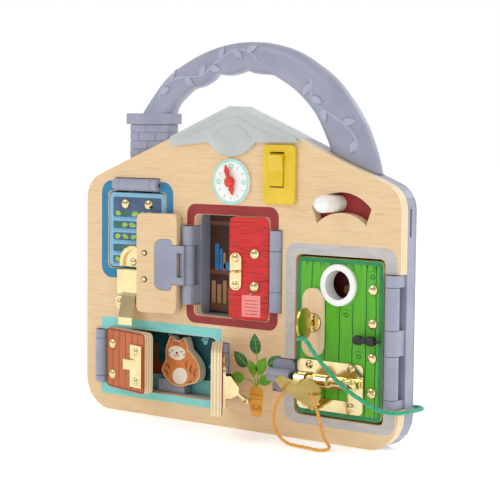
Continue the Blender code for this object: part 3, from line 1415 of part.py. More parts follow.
def make_bolt(axis):
    sheet = GAP + BOLT_PLATE_THICKNESS
    plate = mount("bolt_plate", rectangle(BOLT_PLATE, BOLT_PLATE_CORNER), GAP, sheet)
    line = FACE - BOLT_LIFT
    outer = BOLT_BORE + BOLT_GUIDE_WALL
    saddle = arc(BOLT_LIFT, BOLT_Z, outer, -90, 90, SIDES // 2)
    saddle += [(GAP * 2, BOLT_Z + outer), (GAP * 2, BOLT_Z - outer)]
    for index, (low, high) in enumerate(BOLT_GUIDES):
        frame = edgeways(0)
        add(plate, prism(f"bolt_guide_{index}", [saddle], frame, -high, -low))
    past = [(BOLT_PLATE.left - OVERRUN, line, BOLT_Z), (BOLT_PLATE.right + OVERRUN, line, BOLT_Z)]
    cut(plate, rod("bolt_bore", past[0], past[1], BOLT_BORE))
    cut(plate, mount("bolt_window", rectangle(BOLT_WINDOW, SOFT_EDGE * 2), GAP - OVERRUN, sheet + OVERRUN))
    peg_hole = circle(HEART_X, HEART_TIP_Z, HEART_PEG_HOLE, SMALL_SIDES)
    cut(plate, mount("heart_plate_hole", peg_hole, GAP - OVERRUN, sheet + OVERRUN))
    for index, (x, z) in enumerate(BOLT_RIVETS):
        add(plate, rivet(f"bolt_rivet_{index}", x, z, GAP + BOLT_PLATE_THICKNESS / 2, SMALL_RIVET_RADIUS))
    finish(plate, "brass", axis)
    slide = pivot("bolt_axis", (BOLT_LEFT, line, BOLT_Z), axis)
    bolt = rod("bolt_rod", (BOLT_LEFT, line, BOLT_Z), (BOLT_RIGHT, line, BOLT_Z), BOLT_RADIUS)
    knob = (KNOB_X, FACE - KNOB_LIFT, BOLT_Z)
    add(bolt, rod("knob_neck", (KNOB_X, line, BOLT_Z), knob, KNOB_NECK))
    add(bolt, ball("knob", knob, KNOB_RADIUS))
    finish(bolt, "brass", slide)


def heart_frame():
    tilt = math.radians(90 - HEART_TILT_ANGLE)
    start = Matrix.Translation((HEART_X, FACE - HEART_TIP_LIFT, HEART_TIP_Z))
    return start @ Matrix.Rotation(math.pi / 2 + tilt, 4, "X")


def make_heart(axis):
    right = [(x * HEART_HALF_WIDTH, y * HEART_LENGTH) for x, y in HEART_SHARES]
    left = [(-x, y) for x, y in reversed(right[1:-1])]
    hole_x = HEART_HOLE_X_SHARE * HEART_HALF_WIDTH
    hole_y = HEART_HOLE_Y_SHARE * HEART_LENGTH
    half = HEART_THICKNESS / 2
    slide = pivot("heart_axis", (HEART_X, FACE, HEART_TIP_Z), axis)
    hole = circle(hole_x, hole_y, HEART_HOLE, SMALL_SIDES)
    heart = prism("heart_key", [right + left, hole], heart_frame(), -half, half)
    start = (HEART_X, FACE - HEART_TIP_LIFT - HEART_THICKNESS, HEART_TIP_Z)
    add(heart, rod("heart_peg", start, (HEART_X, FACE + HEART_PEG_DEPTH, HEART_TIP_Z), HEART_PEG))
    finish(heart, "bronze", slide)
    cord = tube("heart_cord", HEART_CORD_ROUTE, HEART_CORD_RADIUS, HEART_CORD_STEPS)
    finish(cord, "orange_cord", slide)


def make_stop(axis):
    line = FACE - STOP_LIFT
    middle = (STOP_LEFT + STOP_RIGHT) / 2
    half = (STOP_RIGHT - STOP_LEFT) / 2
    profile = [(STOP_RADIUS * out, half * up) for out, up in STOP_PROFILE_SHARES]
    frame = Matrix.Translation((middle, line, STOP_Z)) @ Matrix.Rotation(math.pi / 2, 4, "Y")
    stop = turned("cord_stop", profile, frame, SMALL_SIDES)
    add(stop, rod("stop_stub", (middle, line, STOP_Z), (STOP_STUB, line, STOP_Z), STOP_STUB_RADIUS))
    add(stop, rod("stop_foot", (middle, line, STOP_Z), (middle, FACE + PLY / 2, STOP_Z), STOP_FOOT))
    finish(stop, "black", axis)


# Pet doors
def make_pet_doors():
    rect = inset(PET, PET_CLEARANCE)
    middle_x = (PET_LEFT.x + PET_RIGHT.x) / 2
    (low, high), = PET_LEFT.leaves
    spread = (high - low) / 2 - SHANK * 2
    middle = (low + high) / 2
    reach = PET_LEFT.reach + LEAF_SPREAD + LEAF_LENGTH / 3
    left_axis = hinge_pivot("pet_left_axis", PET_LEFT)
    left = rect._replace(left=PET_LEFT.x + PET_LEFT.reach, right=middle_x - LEAF_MEETING)
    rivets = rivet_pair(PET_LEFT, reach, (middle + spread, middle - spread))
    strike_x = PET_LEFT.x + (STRIKE_NEAR + STRIKE_FAR) / 2
    strike_heights = (STRIKE_TOP - STRIKE_RIVET_INSET, STRIKE_BOTTOM + STRIKE_RIVET_INSET)
    holes = rivets + [(strike_x, z) for z in strike_heights]
    board = door_board("pet_left_board", left, holes, [(PET_LEFT, low, high)])
    finish(board, "orange", left_axis)
    finish(hinge_leaf("pet_left_leaf", PET_LEFT, low, high, rivets), "shell", left_axis)
    pin("pet_left_pin", PET_LEFT)
    strike_rect = Rect(PET_LEFT.x + STRIKE_NEAR, PET_LEFT.x + STRIKE_FAR, STRIKE_BOTTOM, STRIKE_TOP)
    sheet = GAP + STRIKE_THICKNESS
    strike = mount("strike_plate", rectangle(strike_rect, SOFT_EDGE * 2), GAP, sheet)
    tongue = [
        (PET_LEFT.x + STRIKE_TONGUE.right, GAP + STRIKE_THICKNESS / 2),
        (PET_LEFT.x + STRIKE_TONGUE.right, sheet),
        (PET_LEFT.x + STRIKE_NEAR, GAP + STRIKE_TONGUE_LIFT + STRIKE_THICKNESS),
        (PET_LEFT.x + STRIKE_TONGUE.left, GAP + STRIKE_TONGUE_LIFT + STRIKE_THICKNESS),
        (PET_LEFT.x + STRIKE_TONGUE.left, GAP + STRIKE_TONGUE_LIFT),
        (PET_LEFT.x + STRIKE_NEAR, GAP + STRIKE_TONGUE_LIFT),
        (PET_LEFT.x + STRIKE_NEAR + STRIKE_THICKNESS, GAP + STRIKE_THICKNESS / 2),
    ]
    axes = Matrix(((1, 0, 0, 0), (0, -1, 0, 0), (0, 0, -1, 0), (0, 0, 0, 1)))
    frame = Matrix.Translation((0, FACE, 0)) @ axes
    add(strike, prism("strike_tongue", [tongue], frame, -STRIKE_TONGUE.top, -STRIKE_TONGUE.bottom))
    for index, z in enumerate(strike_heights):
        add(strike, rivet(f"strike_rivet_{index}", strike_x, z, GAP + STRIKE_THICKNESS / 2,
                          SMALL_RIVET_RADIUS, SMALL_RIVET_HEIGHT))
    finish(strike, "brass", left_axis)

    right_axis = hinge_pivot("pet_right_axis", PET_RIGHT)
    right = rect._replace(left=middle_x + LEAF_MEETING, right=PET_RIGHT.x - PET_RIGHT.reach)
    rivets = rivet_pair(PET_RIGHT, reach, (middle + spread, middle - spread))
    catch_x = PET_RIGHT.x - (CATCH_PLATE.left + CATCH_PLATE.right) / 2
    catch_heights = (CATCH_PLATE.top - SHANK * 2, CATCH_PLATE.bottom + SHANK * 2)
    holes = rivets + [(catch_x, z) for z in catch_heights]
    board = door_board("pet_right_board", right, holes, [(PET_RIGHT, low, high)])
    finish(board, "orange", right_axis)
    finish(hinge_leaf("pet_right_leaf", PET_RIGHT, low, high, rivets), "shell", right_axis)
    pin("pet_right_pin", PET_RIGHT)
    half = (CATCH_PLATE.right - CATCH_PLATE.left) / 2
    catch_rect = Rect(catch_x - half, catch_x + half, CATCH_PLATE.bottom, CATCH_PLATE.top)
    sheet = GAP + CATCH_PLATE_THICKNESS
    catch = mount("pet_catch", rectangle(catch_rect, OPENING_CORNER), GAP, sheet)
    ear = [
        (GAP * 2, EAR_TOP),
        (EAR_REACH / 2, EAR_TOP),
        (EAR_REACH, LEVER_AXIS_Z + LEVER_BARREL),
        (EAR_REACH, LEVER_AXIS_Z - LEVER_BARREL),
        (EAR_REACH / 2, EAR_BOTTOM),
        (GAP * 2, EAR_BOTTOM),
    ]
    inner = half - EAR_THICKNESS - GAP
    for index, (near, far) in enumerate([(-inner - EAR_THICKNESS, -inner), (inner, inner + EAR_THICKNESS)]):
        add(catch, prism(f"pet_ear_{index}", [ear], edgeways(catch_x), near, far))
    line = FACE - LEVER_AXIS_LIFT
    ends = [(catch_x + way * (inner + GAP), line, LEVER_AXIS_Z) for way in (-1, 1)]
    add(catch, rod("pet_catch_pin", ends[0], ends[1], LEVER_PIN))
    for index, z in enumerate(catch_heights):
        add(catch, rivet(f"pet_catch_rivet_{index}", catch_x, z, sheet - CATCH_PLATE_THICKNESS / 2,
                         SMALL_RIVET_RADIUS - SOFT_EDGE, SMALL_RIVET_HEIGHT))
    finish(catch, "brass", right_axis)

    lever_axis = pivot("pet_lever_axis", (catch_x, line, LEVER_AXIS_Z), right_axis)
    reach_x = inner - GAP * 2
    ends = [(catch_x + way * reach_x, line, LEVER_AXIS_Z) for way in (-1, 1)]
    lever = rod("pet_lever", ends[0], ends[1], LEVER_BARREL)
    tip = (catch_x, FACE - LEVER_TIP_LIFT, LEVER_TIP_Z)
    root = (catch_x, line - LEVER_BORE - GAP, LEVER_AXIS_Z - LEVER_BORE - GAP)
    add(lever, rod("lever_neck", root, tip, LEVER_NECK, SMALL_SIDES, LEVER_NECK_END))
    add(lever, ball("lever_ball", tip, LEVER_BALL))
    past = [(catch_x + way * (reach_x + OVERRUN), line, LEVER_AXIS_Z) for way in (-1, 1)]
    cut(lever, rod("lever_bore", past[0], past[1], LEVER_BORE))
    finish(lever, "brass", lever_axis)
    left_axis.rotation_euler.z = -math.radians(PET_LEFT_OPEN_ANGLE)
    right_axis.rotation_euler.z = math.radians(PET_RIGHT_OPEN_ANGLE)


# Rocking figure
def make_figure():
    axis = pivot("figure_axis", (FIGURE_X, 0, FIGURE_Z))
    upper = smooth([(x * FIGURE_SOLE, z * FIGURE_SOLE, 0) for x, z in FIGURE_SHARES], 2)
    sole = arc(0, 0, FIGURE_SOLE, FIGURE_SOLE_START, FIGURE_SOLE_END, 8)
    outline = [(x, z) for x, z, _ in upper] + sole[1:-1]
    placed = [(FIGURE_X + x, FIGURE_Z + z) for x, z in outline]
    finish(slab("rocking_figure", placed, FIGURE_FRONT, FIGURE_BACK), "orange", axis)
    seat = FIGURE_SOLE + CRADLE_GAP
    dip = math.degrees(math.asin((FIGURE_Z - CRADLE.top) / seat))
    bed = [(CRADLE.left, CRADLE.bottom), (CRADLE.left, CRADLE.top)]
    far_end = math.degrees(math.acos((CRADLE.right - FIGURE_X) / seat))
    bed += arc(FIGURE_X, FIGURE_Z, seat, -180 + dip, -far_end, 8)
    bed += [(CRADLE.right, CRADLE.bottom)]
    cradle = slab("figure_cradle", bed, FIGURE_FRONT, BAY_FLOOR - GAP)
    finish(cradle, "shell")


make_shell()
make_back_cover()
make_handle()
make_panel()
make_battery_cover()
make_lamp()
make_clock()
make_hand("hour_hand", HOUR_HAND_LIFT, HOUR_HAND_LENGTH, HOUR_HAND_WIDTH, HOUR_HAND_ANGLE)
make_hand("minute_hand", MINUTE_HAND_LIFT, MINUTE_HAND_LENGTH, MINUTE_HAND_WIDTH, MINUTE_HAND_ANGLE)
make_switch()
make_sign()
make_shutter()
make_latch()
make_windows()
make_entry()
make_pet_doors()
make_figure()
finish(tube("key_cord", KEY_CORD_ROUTE, KEY_CORD_RADIUS, KEY_CORD_STEPS), "green_cord")
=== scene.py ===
import math
import random

import bmesh
import bpy
from mathutils import Matrix, Vector
from mathutils.geometry import tessellate_polygon


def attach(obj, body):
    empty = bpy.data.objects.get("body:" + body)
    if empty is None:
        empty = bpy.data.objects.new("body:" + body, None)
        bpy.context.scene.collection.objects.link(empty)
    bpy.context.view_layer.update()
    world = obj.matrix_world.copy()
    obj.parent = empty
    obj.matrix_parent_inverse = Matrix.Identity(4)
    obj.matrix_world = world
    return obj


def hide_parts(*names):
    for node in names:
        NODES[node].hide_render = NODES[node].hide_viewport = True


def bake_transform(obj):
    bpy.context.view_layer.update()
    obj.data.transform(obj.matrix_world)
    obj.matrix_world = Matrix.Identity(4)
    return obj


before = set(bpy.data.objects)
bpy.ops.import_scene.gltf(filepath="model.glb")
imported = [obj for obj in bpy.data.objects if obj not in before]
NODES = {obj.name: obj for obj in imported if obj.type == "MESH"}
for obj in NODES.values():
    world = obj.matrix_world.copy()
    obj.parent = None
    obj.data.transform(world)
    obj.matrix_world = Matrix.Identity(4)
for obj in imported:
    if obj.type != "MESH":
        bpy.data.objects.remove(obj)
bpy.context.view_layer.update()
MADE = {}

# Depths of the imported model, in metres
FACE = -0.0147  # front of the plywood panel and of the closed doors
PLY = 0.0084
PLY_BACK = FACE + PLY
ROOM_BACK = 0.0045
SHELL_BACK = 0.006
GAP = 0.0003  # between pieces that touch
LAYER = 0.00004  # one printed layer
SINK = 0.00005  # how far a print or a head reaches into what it lies on
EDGE = 0.0005  # bevel of the panel's openings


def swung(x, angle):
    """How a door on an upright pin at x stands at rest, from its closed place."""
    pin = Vector((x, FACE, 0))
    turn = Matrix.Rotation(math.radians(angle), 4, "Z")
    return Matrix.Translation(pin) @ turn @ Matrix.Translation(-pin)


# Bodies that don't stand closed at rest: where the door's pin stands, and the door's angle
STANDS = {
    "window_left": swung(-0.0423, -165),
    "window_right": swung(0.042, 7),
    "pet_left": swung(-0.1335, -15),
    "pet_right": swung(-0.0069, 127),
}

# Camera
CAMERA_PLACE = Vector((0.6777, -0.89949, 0.22336))
CAMERA_TARGET = Vector((0.01751, -0.0147, 0.13835))
CAMERA_ROLL = math.radians(0.597)
CAMERA_LENS = 105.4
CAMERA_SENSOR = 36

data = bpy.data.cameras.new("camera")
data.lens = CAMERA_LENS
data.sensor_width = CAMERA_SENSOR
camera = bpy.data.objects.new("camera", data)
ahead = (CAMERA_TARGET - CAMERA_PLACE).normalized()
level = ahead.cross(Vector((0, 0, 1))).normalized()
upright = level.cross(ahead)
right = level * math.cos(CAMERA_ROLL) + upright * math.sin(CAMERA_ROLL)
turn = Matrix((right, right.cross(ahead), -ahead)).transposed().to_4x4()
camera.matrix_world = Matrix.Translation(CAMERA_PLACE) @ turn
bpy.context.scene.collection.objects.link(camera)
bpy.context.scene.camera = camera


# Materials
FRONTAL = 0.7  # cosine from which a surface counts as facing a direction


def paint(code):
    """A colour from its six-digit code."""
    parts = [int(code[i : i + 2], 16) / 255 for i in (0, 2, 4)]
    return (*[c / 12.92 if c <= 0.04045 else ((c + 0.055) / 1.055) ** 2.4 for c in parts], 1)


class Look:
    """A procedural material under construction."""

    def __init__(self, name, roughness, metallic=0.0, **sockets):
        self.material = bpy.data.materials.new(name)
        self.material.use_nodes = True
        self.tree = self.material.node_tree
        self.shader = self.tree.nodes["Principled BSDF"]
        self.shader.inputs["Roughness"].default_value = roughness
        self.shader.inputs["Metallic"].default_value = metallic
        for socket, value in sockets.items():
            self.shader.inputs[socket.replace("_", " ")].default_value = value
        self.place = self.node("ShaderNodeTexCoord", {}, "Object")
        MADE[name] = self

    def node(self, kind, inputs, output=0, **settings):
        """One output of a new node with these inputs and settings."""
        made = self.tree.nodes.new(kind)
        for key, value in settings.items():
            setattr(made, key, value)
        for socket, value in inputs.items():
            self.feed(made.inputs[socket], value)
        return made.outputs[output]

    def feed(self, socket, value):
        if isinstance(value, bpy.types.NodeSocket):
            self.tree.links.new(value, socket)
        else:
            socket.default_value = value

    def sum(self, operation, *values):
        return self.node("ShaderNodeMath", dict(enumerate(values)), operation=operation)

    def closed(self, body):
        """Coordinates of a door as if it were closed."""
        if body not in STANDS:
            return self.place
        back = STANDS[body].inverted()
        inputs = {"Vector": self.place, "Location": back.translation, "Rotation": back.to_euler()}
        return self.node("ShaderNodeMapping", inputs)

    def stretched(self, place, scale):
        return self.node("ShaderNodeVectorMath", {0: place, 1: scale}, operation="MULTIPLY")

    def noise(self, place, scale, detail=3.0, roughness=0.55, warp=0.0):
        inputs = {"Vector": place, "Scale": scale, "Detail": detail}
        inputs |= {"Roughness": roughness, "Distortion": warp}
        return self.node("ShaderNodeTexNoise", inputs, "Fac")

    def ramp(self, value, stops, steps="LINEAR"):
        made = self.tree.nodes.new("ShaderNodeValToRGB")
        made.color_ramp.interpolation = steps
        while len(made.color_ramp.elements) < len(stops):
            made.color_ramp.elements.new(0.5)
        for element, (at, colour) in zip(made.color_ramp.elements, stops):
            element.position = at
            element.color = paint(colour)
        self.feed(made.inputs[0], value)
        return made.outputs[0]

    def mix(self, share, first, second):
        first, second = [paint(value) if isinstance(value, str) else value for value in (first, second)]
        return self.node("ShaderNodeMix", {0: share, 6: first, 7: second}, 2, data_type="RGBA")

    def facing(self, direction):
        """1 where the surface faces a direction at rest."""
        normal = self.node("ShaderNodeTexCoord", {}, "Normal")
        pair = {0: normal, 1: direction}
        dot = self.node("ShaderNodeVectorMath", pair, "Value", operation="DOT_PRODUCT")
        return self.sum("GREATER_THAN", dot, FRONTAL)

    def bump(self, value, distance, strength):
        inputs = {"Height": value, "Distance": distance, "Strength": strength}
        self.feed(self.shader.inputs["Normal"], self.node("ShaderNodeBump", inputs))

    def colour(self, value):
        self.feed(self.shader.inputs["Base Color"], value)

    def rough(self, value, low, high):
        inputs = {"Value": value, "To Min": low, "To Max": high}
        self.feed(self.shader.inputs["Roughness"], self.node("ShaderNodeMapRange", inputs))


def plastic(name, dark, light, roughness=0.38, depth=0.00002, **sockets):
    look = Look(name, roughness, **sockets)
    cloud = look.noise(look.place, 38.0, 2.0)
    look.colour(look.ramp(cloud, [(0.35, dark), (0.65, light)]))
    look.rough(look.noise(look.place, 120.0), roughness - 0.07, roughness + 0.08)
    look.bump(look.noise(look.place, 900.0, 2.0), depth, 0.5)


def metal(name, dark, light, roughness):
    look = Look(name, roughness, 1.0)
    cloud = look.noise(look.place, 70.0)
    look.colour(look.ramp(cloud, [(0.3, dark), (0.7, light)]))
    lines = look.noise(look.stretched(look.place, (900, 900, 60)), 1.0, 2.0)
    look.rough(lines, roughness - 0.04, roughness + 0.07)
    look.bump(look.noise(look.place, 90.0, 2.0), 0.000012, 0.3)


WOOD = [(0.28, "dcb788"), (0.5, "e6c79c"), (0.8, "e9cea6")]
FLECK = "b98a55"
PLIES = [
    (0.0, "f3e4c6"), (0.14, "dcc092"), (0.3, "f1e0be"), (0.44, "d8b98a"), (0.58, "f2e1c0"),
    (0.72, "dabd8e"), (0.86, "f3e4c6"),
]
PLY_GRAIN = "e0c79c"
ACROSS = (7, 1, 90)
UPWARD = (90, 1, 7)


def wood_colour(look, place, along):
    """Pale birch veneer with fine streaks along one axis."""
    streak = look.noise(look.stretched(place, along), 6.0, 5.0, 0.62, 0.6)
    fleck = look.noise(look.stretched(place, tuple(v * 9 for v in along)), 4.0, 2.0)
    return look.mix(look.sum("MULTIPLY", fleck, 0.08), look.ramp(streak, WOOD), FLECK)


def ply_colour(look, place):
    """The plies of a cut edge, across the board's depth."""
    depth = look.node("ShaderNodeSeparateXYZ", {0: place}, "Y")
    share = look.sum("DIVIDE", look.sum("SUBTRACT", depth, FACE), PLY)
    grain = look.noise(look.stretched(place, (200, 30, 200)), 5.0)
    return look.mix(look.sum("MULTIPLY", grain, 0.2), look.ramp(share, PLIES, "CONSTANT"), PLY_GRAIN)


def ply_board(name, body, along, paints=None, pattern=None):
    """A plywood board; paints colour its front, and pattern is a function that draws on them."""
    look = Look(name, 0.42, Coat_Weight=0.1, Coat_Roughness=0.3, Specular_IOR_Level=0.35)
    place = look.closed(body)
    front = STANDS.get(body, Matrix()).to_3x3() @ Vector((0, -1, 0))
    base = wood_colour(look, place, along)
    ahead, behind = look.facing(front), look.facing(-front)
    whole = look.mix(look.sum("ADD", ahead, behind), ply_colour(look, place), base)
    if paints:
        cloud = look.noise(look.stretched(place, along), 5.0, 4.0)
        shade = look.ramp(cloud, [(0.3, paints[0]), (0.7, paints[1])])
        if pattern:
            shade = pattern(look, place, shade)
        whole = look.mix(ahead, whole, shade)
    look.colour(whole)
    streak = look.noise(look.stretched(place, along), 18.0, 4.0)
    look.rough(streak, 0.34, 0.52)
    look.bump(streak, 0.00006, 0.35)


def red_grain(look, place, shade):
    """Dark wavy streaks across the board, thick and thin."""
    wave = look.noise(look.stretched(place, (14, 1, 330)), 1.0, 1.5, 0.4, 0.5)
    lines = look.sum("PINGPONG", look.sum("MULTIPLY", wave, 9.0), 0.5)
    wedge = look.noise(look.stretched(place, (60, 1, 120)), 1.0, 2.0)
    line = look.sum("LESS_THAN", lines, look.sum("MULTIPLY", wedge, 0.26))
    return look.mix(line, shade, "a3201f")


def streaked(scale, least, share, tint):
    """A pattern of short streaks up the board."""

    def pattern(look, place, shade):
        streak = look.noise(look.stretched(place, scale), 1.0)
        mark = look.sum("GREATER_THAN", streak, least)
        return look.mix(look.sum("MULTIPLY", mark, share), shade, tint)

    return pattern


GREEN_STREAKS = streaked((260, 1, 12), 0.66, 0.35, "3f8f1c")
ORANGE_STREAKS = streaked((300, 1, 20), 0.62, 0.45, "b4521f")

ply_board("panel_ply", "board", ACROSS)
ply_board("key_plate_ply", "entry_door", UPWARD)
plastic("shell_plastic", "9094a6", "9a9eb0")
# Painted highlight: a lighter copy of the shell's plastic, so that the raised vine reads as lit
plastic("shell_painted_highlight", "a0a4b6", "aaaec0", 0.34)
plastic("frosted_plastic", "d3d9d9", "e0e5e4", 0.32, Transmission_Weight=0.3, IOR=1.45)
plastic("circuit_green", "1d6a34", "2a8446", 0.4)
plastic("yellow_plastic", "dfbc1a", "e9c728", 0.28, 0.00001, Coat_Weight=0.3)
plastic("dial_white", "eeeeea", "f6f6f3", 0.3, 0.000008)
plastic("hand_red", "d23524", "e2442f", 0.3)
plastic("sign_red", "9c2629", "b0312f", 0.45)
plastic("white_plastic", "ececea", "f7f7f5", 0.24, 0.00001, Coat_Weight=0.4)
plastic("black_plastic", "1a1a1c", "2b2b2e", 0.42)
metal("steel", "9a9a9a", "c9c9c9", 0.28)
metal("brass", "d9c48e", "eadaab", 0.12)
metal("dull_brass", "bba95c", "d0be76", 0.24)
ply_board("shutter_blue", "shutter", UPWARD, ("79b0cd", "88bdd6"))
ply_board("window_left_red", "window_left", ACROSS, ("cb2321", "d8302c"), red_grain)
ply_board("window_right_red", "window_right", ACROSS, ("ce2422", "da322e"), red_grain)
ply_board("entry_green", "entry_door", UPWARD, ("4da61a", "61b625"), GREEN_STREAKS)
ply_board("pet_left_orange", "pet_left", UPWARD, ("b85a20", "c6682b"), ORANGE_STREAKS)
ply_board("pet_right_orange", "pet_right", UPWARD, ("b85a20", "c6682b"), ORANGE_STREAKS)
ply_board("figure_ply", "board", UPWARD)


def ink(name, dark, light):
    """Print on wood: a little uneven, with the wood's streaks showing through."""
    look = Look(name, 0.5, Coat_Weight=0.08, Coat_Roughness=0.35, Specular_IOR_Level=0.35)
    streak = look.noise(look.stretched(look.place, (60, 60, 400)), 1.0, 4.0)
    cloud = look.noise(look.place, 60.0)
    uneven = look.sum("MULTIPLY_ADD", streak, 0.5, look.sum("MULTIPLY", cloud, 0.5))
    look.colour(look.ramp(uneven, [(0.36, dark), (0.62, light)]))
    look.rough(streak, 0.42, 0.58)
    look.bump(streak, 0.00003, 0.3)


INKS = {
    "blue": ("21749e", "3184ac"), "dark_red": ("8d2727", "9d3432"), "grey": ("b3afae", "c4c0be"),
    "teal": ("78c9c2", "8ad6cf"), "aqua": ("93d6c9", "aae2d6"), "slate": ("3d5473", "516a8c"),
    "leaf_light": ("86b63a", "a2ca52"), "leaf_dark": ("2e6b45", "3c7d52"),
    "leaf_mid": ("5da32b", "79bd3c"), "deep_green": ("23764a", "2f8c5a"),
    "line_green": ("145f20", "1e7029"), "sky": ("2c6fa8", "3d83bd"),
    "dark_brown": ("3a2119", "4d2e22"), "brown": ("6d452c", "7f553a"), "tan": ("a8784c", "b98a5d"),
    "deep_teal": ("0f4a52", "185a62"), "pink": ("f08884", "f79a93"), "note_line": ("b5484a", "c45757"),
    "pot": ("e39a2f", "eeb048"), "pot_dark": ("c97a1d", "d88c2a"), "burnt": ("7c3013", "8e3d1c"),
    "fur": ("cf7434", "dd8747"), "fur_dark": ("8e4420", "9f5229"), "cream": ("f0dfc6", "f8ebd6"),
    "black": ("201c1c", "2c2727"), "wine": ("5b1f20", "6e2a29"), "tick": ("8aa0a4", "9bb0b3"),
}
for shade, (dark, light) in INKS.items():
    ink("ink_" + shade, dark, light)

NODE_LOOKS = {
    "panel_ply": "front_panel",
    "key_plate_ply": "key_plate",
    "shell_plastic": "back_shell back_cover carry_handle battery_cover figure_cradle shutter_leaf "
    "window_left_leaf window_right_leaf entry_leaf_lower entry_leaf_upper pet_left_leaf pet_right_leaf",
    "frosted_plastic": "lamp_cover",
    "circuit_green": "lamp_board",
    "yellow_plastic": "switch_plate switch_rocker",
    "dial_white": "clock_dial",
    "hand_red": "hour_hand minute_hand",
    "sign_red": "sign_sector",
    "white_plastic": "sign_peg porthole_ring",
    "steel": "sign_screw shutter_pin window_left_pin window_right_pin "
    "pet_left_pin pet_right_pin entry_pin",
    "brass": "shutter_catch latch_base latch_lever hook_plate window_hook staple_plate lock_cylinder "
    "bolt_plate bolt_rod strike_plate pet_catch pet_lever",
    "dull_brass": "lock_key heart_key",
    "shutter_blue": "shutter_board",
    "window_left_red": "window_left_board",
    "window_right_red": "window_right_board",
    "entry_green": "entry_board",
    "pet_left_orange": "pet_left_board",
    "pet_right_orange": "pet_right_board",
    "figure_ply": "rocking_figure",
    "black_plastic": "cord_stop",
}
for look_name, names in NODE_LOOKS.items():
    for name in names.split():
        NODES[name].data.materials.clear()
        NODES[name].data.materials.append(MADE[look_name].material)


# Flat shapes, as loops of (x, z)
LEAF_STEPS = 8
FINE = 24  # steps of a smooth curve that is then divided evenly


def arc(x, z, radius, start, end, steps):
    turns = [math.radians(start + (end - start) * i / steps) for i in range(steps + 1)]
    return [(x + radius * math.cos(t), z + radius * math.sin(t)) for t in turns]


def disc(x, z, radius, sides=32):
    return arc(x, z, radius, 0, 360, sides)[:-1]


def turned(x, z, points, angle):
    """Points about (x, z), turned by degrees."""
    turn = math.radians(angle)
    c, s = math.cos(turn), math.sin(turn)
    return [(x + a * c - b * s, z + a * s + b * c) for a, b in points]


def oval(x, z, wide, high, angle=0.0, sides=28):
    turns = [2 * math.pi * i / sides for i in range(sides)]
    return turned(x, z, [(wide * math.cos(t), high * math.sin(t)) for t in turns], angle)


def panel(left, right, bottom, top, corner=0.0, steps=6):
    if not corner:
        return [(left, bottom), (right, bottom), (right, top), (left, top)]
    found = []
    for x, z, start in (
        (right - corner, bottom + corner, -90), (right - corner, top - corner, 0),
        (left + corner, top - corner, 90), (left + corner, bottom + corner, 180),
    ):
        found += arc(x, z, corner, start, start + 90, steps)
    return found


def smooth(points, steps=6, closed=False):
    """Points on a smooth curve through the given ones."""
    points = [Vector(p) for p in points]
    count = len(points)
    found = []
    for i in range(count if closed else count - 1):
        spots = [i + k for k in (-1, 0, 1, 2)]
        a, b, c, d = [points[k % count if closed else min(max(k, 0), count - 1)] for k in spots]
        for step in range(steps):
            t = step / steps
            bend = (a * 2 - b * 5 + c * 4 - d) * t * t + (b * 3 - a - c * 3 + d) * t**3
            found.append((b * 2 + (c - a) * t + bend) / 2)
    return found if closed else found + [points[-1]]


def leaf(x, z, length, width, angle, bend=0.0):
    """A pointed leaf from its stem end."""
    rim = [(1, i / LEAF_STEPS) for i in range(LEAF_STEPS + 1)]
    rim += [(-1, 1 - i / LEAF_STEPS) for i in range(1, LEAF_STEPS)]
    points = []
    for side, t in rim:
        half = width / 2 * math.sin(math.pi * t**0.8) ** 0.9
        points.append((t * length, side * half + bend * math.sin(math.pi * t)))
    return turned(x, z, points, angle)


def stroke(points, width, taper=0.4):
    """A brush line along points, thinner at its ends."""
    line = [Vector(p) for p in points]
    left, right = [], []
    for i, here in enumerate(line):
        ahead = (line[min(i + 1, len(line) - 1)] - line[max(i - 1, 0)]).normalized()
        t = i / (len(line) - 1)
        half = width / 2 * (taper + (1 - taper) * math.sin(math.pi * t) ** 0.5)
        side = Vector((-ahead.y, ahead.x)) * half
        left.append(tuple(here + side))
        right.append(tuple(here - side))
    return left + right[::-1]


def grown(loop, by):
    """A loop scaled about its middle."""
    middle = sum((Vector(p) for p in loop), Vector((0, 0))) / len(loop)
    return [tuple(middle + (Vector(p) - middle) * by) for p in loop]


# Pieces
DOME_SIDES, DOME_ROWS = 28, 7
CUT_REACH = 0.01


def linked(name, shape, look=None, smooth_faces=False, stand=Matrix()):
    """An object in the scene from a shape under construction."""
    mesh = bpy.data.meshes.new(name)
    bmesh.ops.recalc_face_normals(shape, faces=shape.faces)
    shape.to_mesh(mesh)
    shape.free()
    mesh.transform(stand)
    for face in mesh.polygons:
        face.use_smooth = smooth_faces
    if look:
        mesh.materials.append(MADE[look].material)
    piece = bpy.data.objects.new(name, mesh)
    bpy.context.scene.collection.objects.link(piece)
    return piece


def placed(name, shape, body, look, smooth_faces=False):
    """A piece modelled on the closed object, put where its body stands at rest."""
    piece = linked(name, shape, look, smooth_faces, STANDS.get(body, Matrix()))
    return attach(piece, body)


def prism(shape, loops, front, back):
    """Flat loops, the later ones holes, made solid between two depths."""
    loops = [[(p[0], p[1]) for p in loop] for loop in loops]
    flat = [p for loop in loops for p in loop]
    faces = tessellate_polygon([[Vector((x, z, 0)) for x, z in loop] for loop in loops])
    fore = [shape.verts.new((x, front, z)) for x, z in flat]
    hind = [shape.verts.new((x, back, z)) for x, z in flat]
    for a, b, c in faces:
        for ring in (fore, hind):
            shape.faces.new((ring[a], ring[b], ring[c]))
    start = 0
    for loop in loops:
        count = len(loop)
        for i in range(count):
            a, b = start + i, start + (i + 1) % count
            shape.faces.new((fore[a], fore[b], hind[b], hind[a]))
        start += count


def solid(prisms):
    """A shape of several prisms, each as its loops, its front and its back."""
    shape = bmesh.new()
    for loops, front, back in prisms:
        prism(shape, loops, front, back)
    return shape


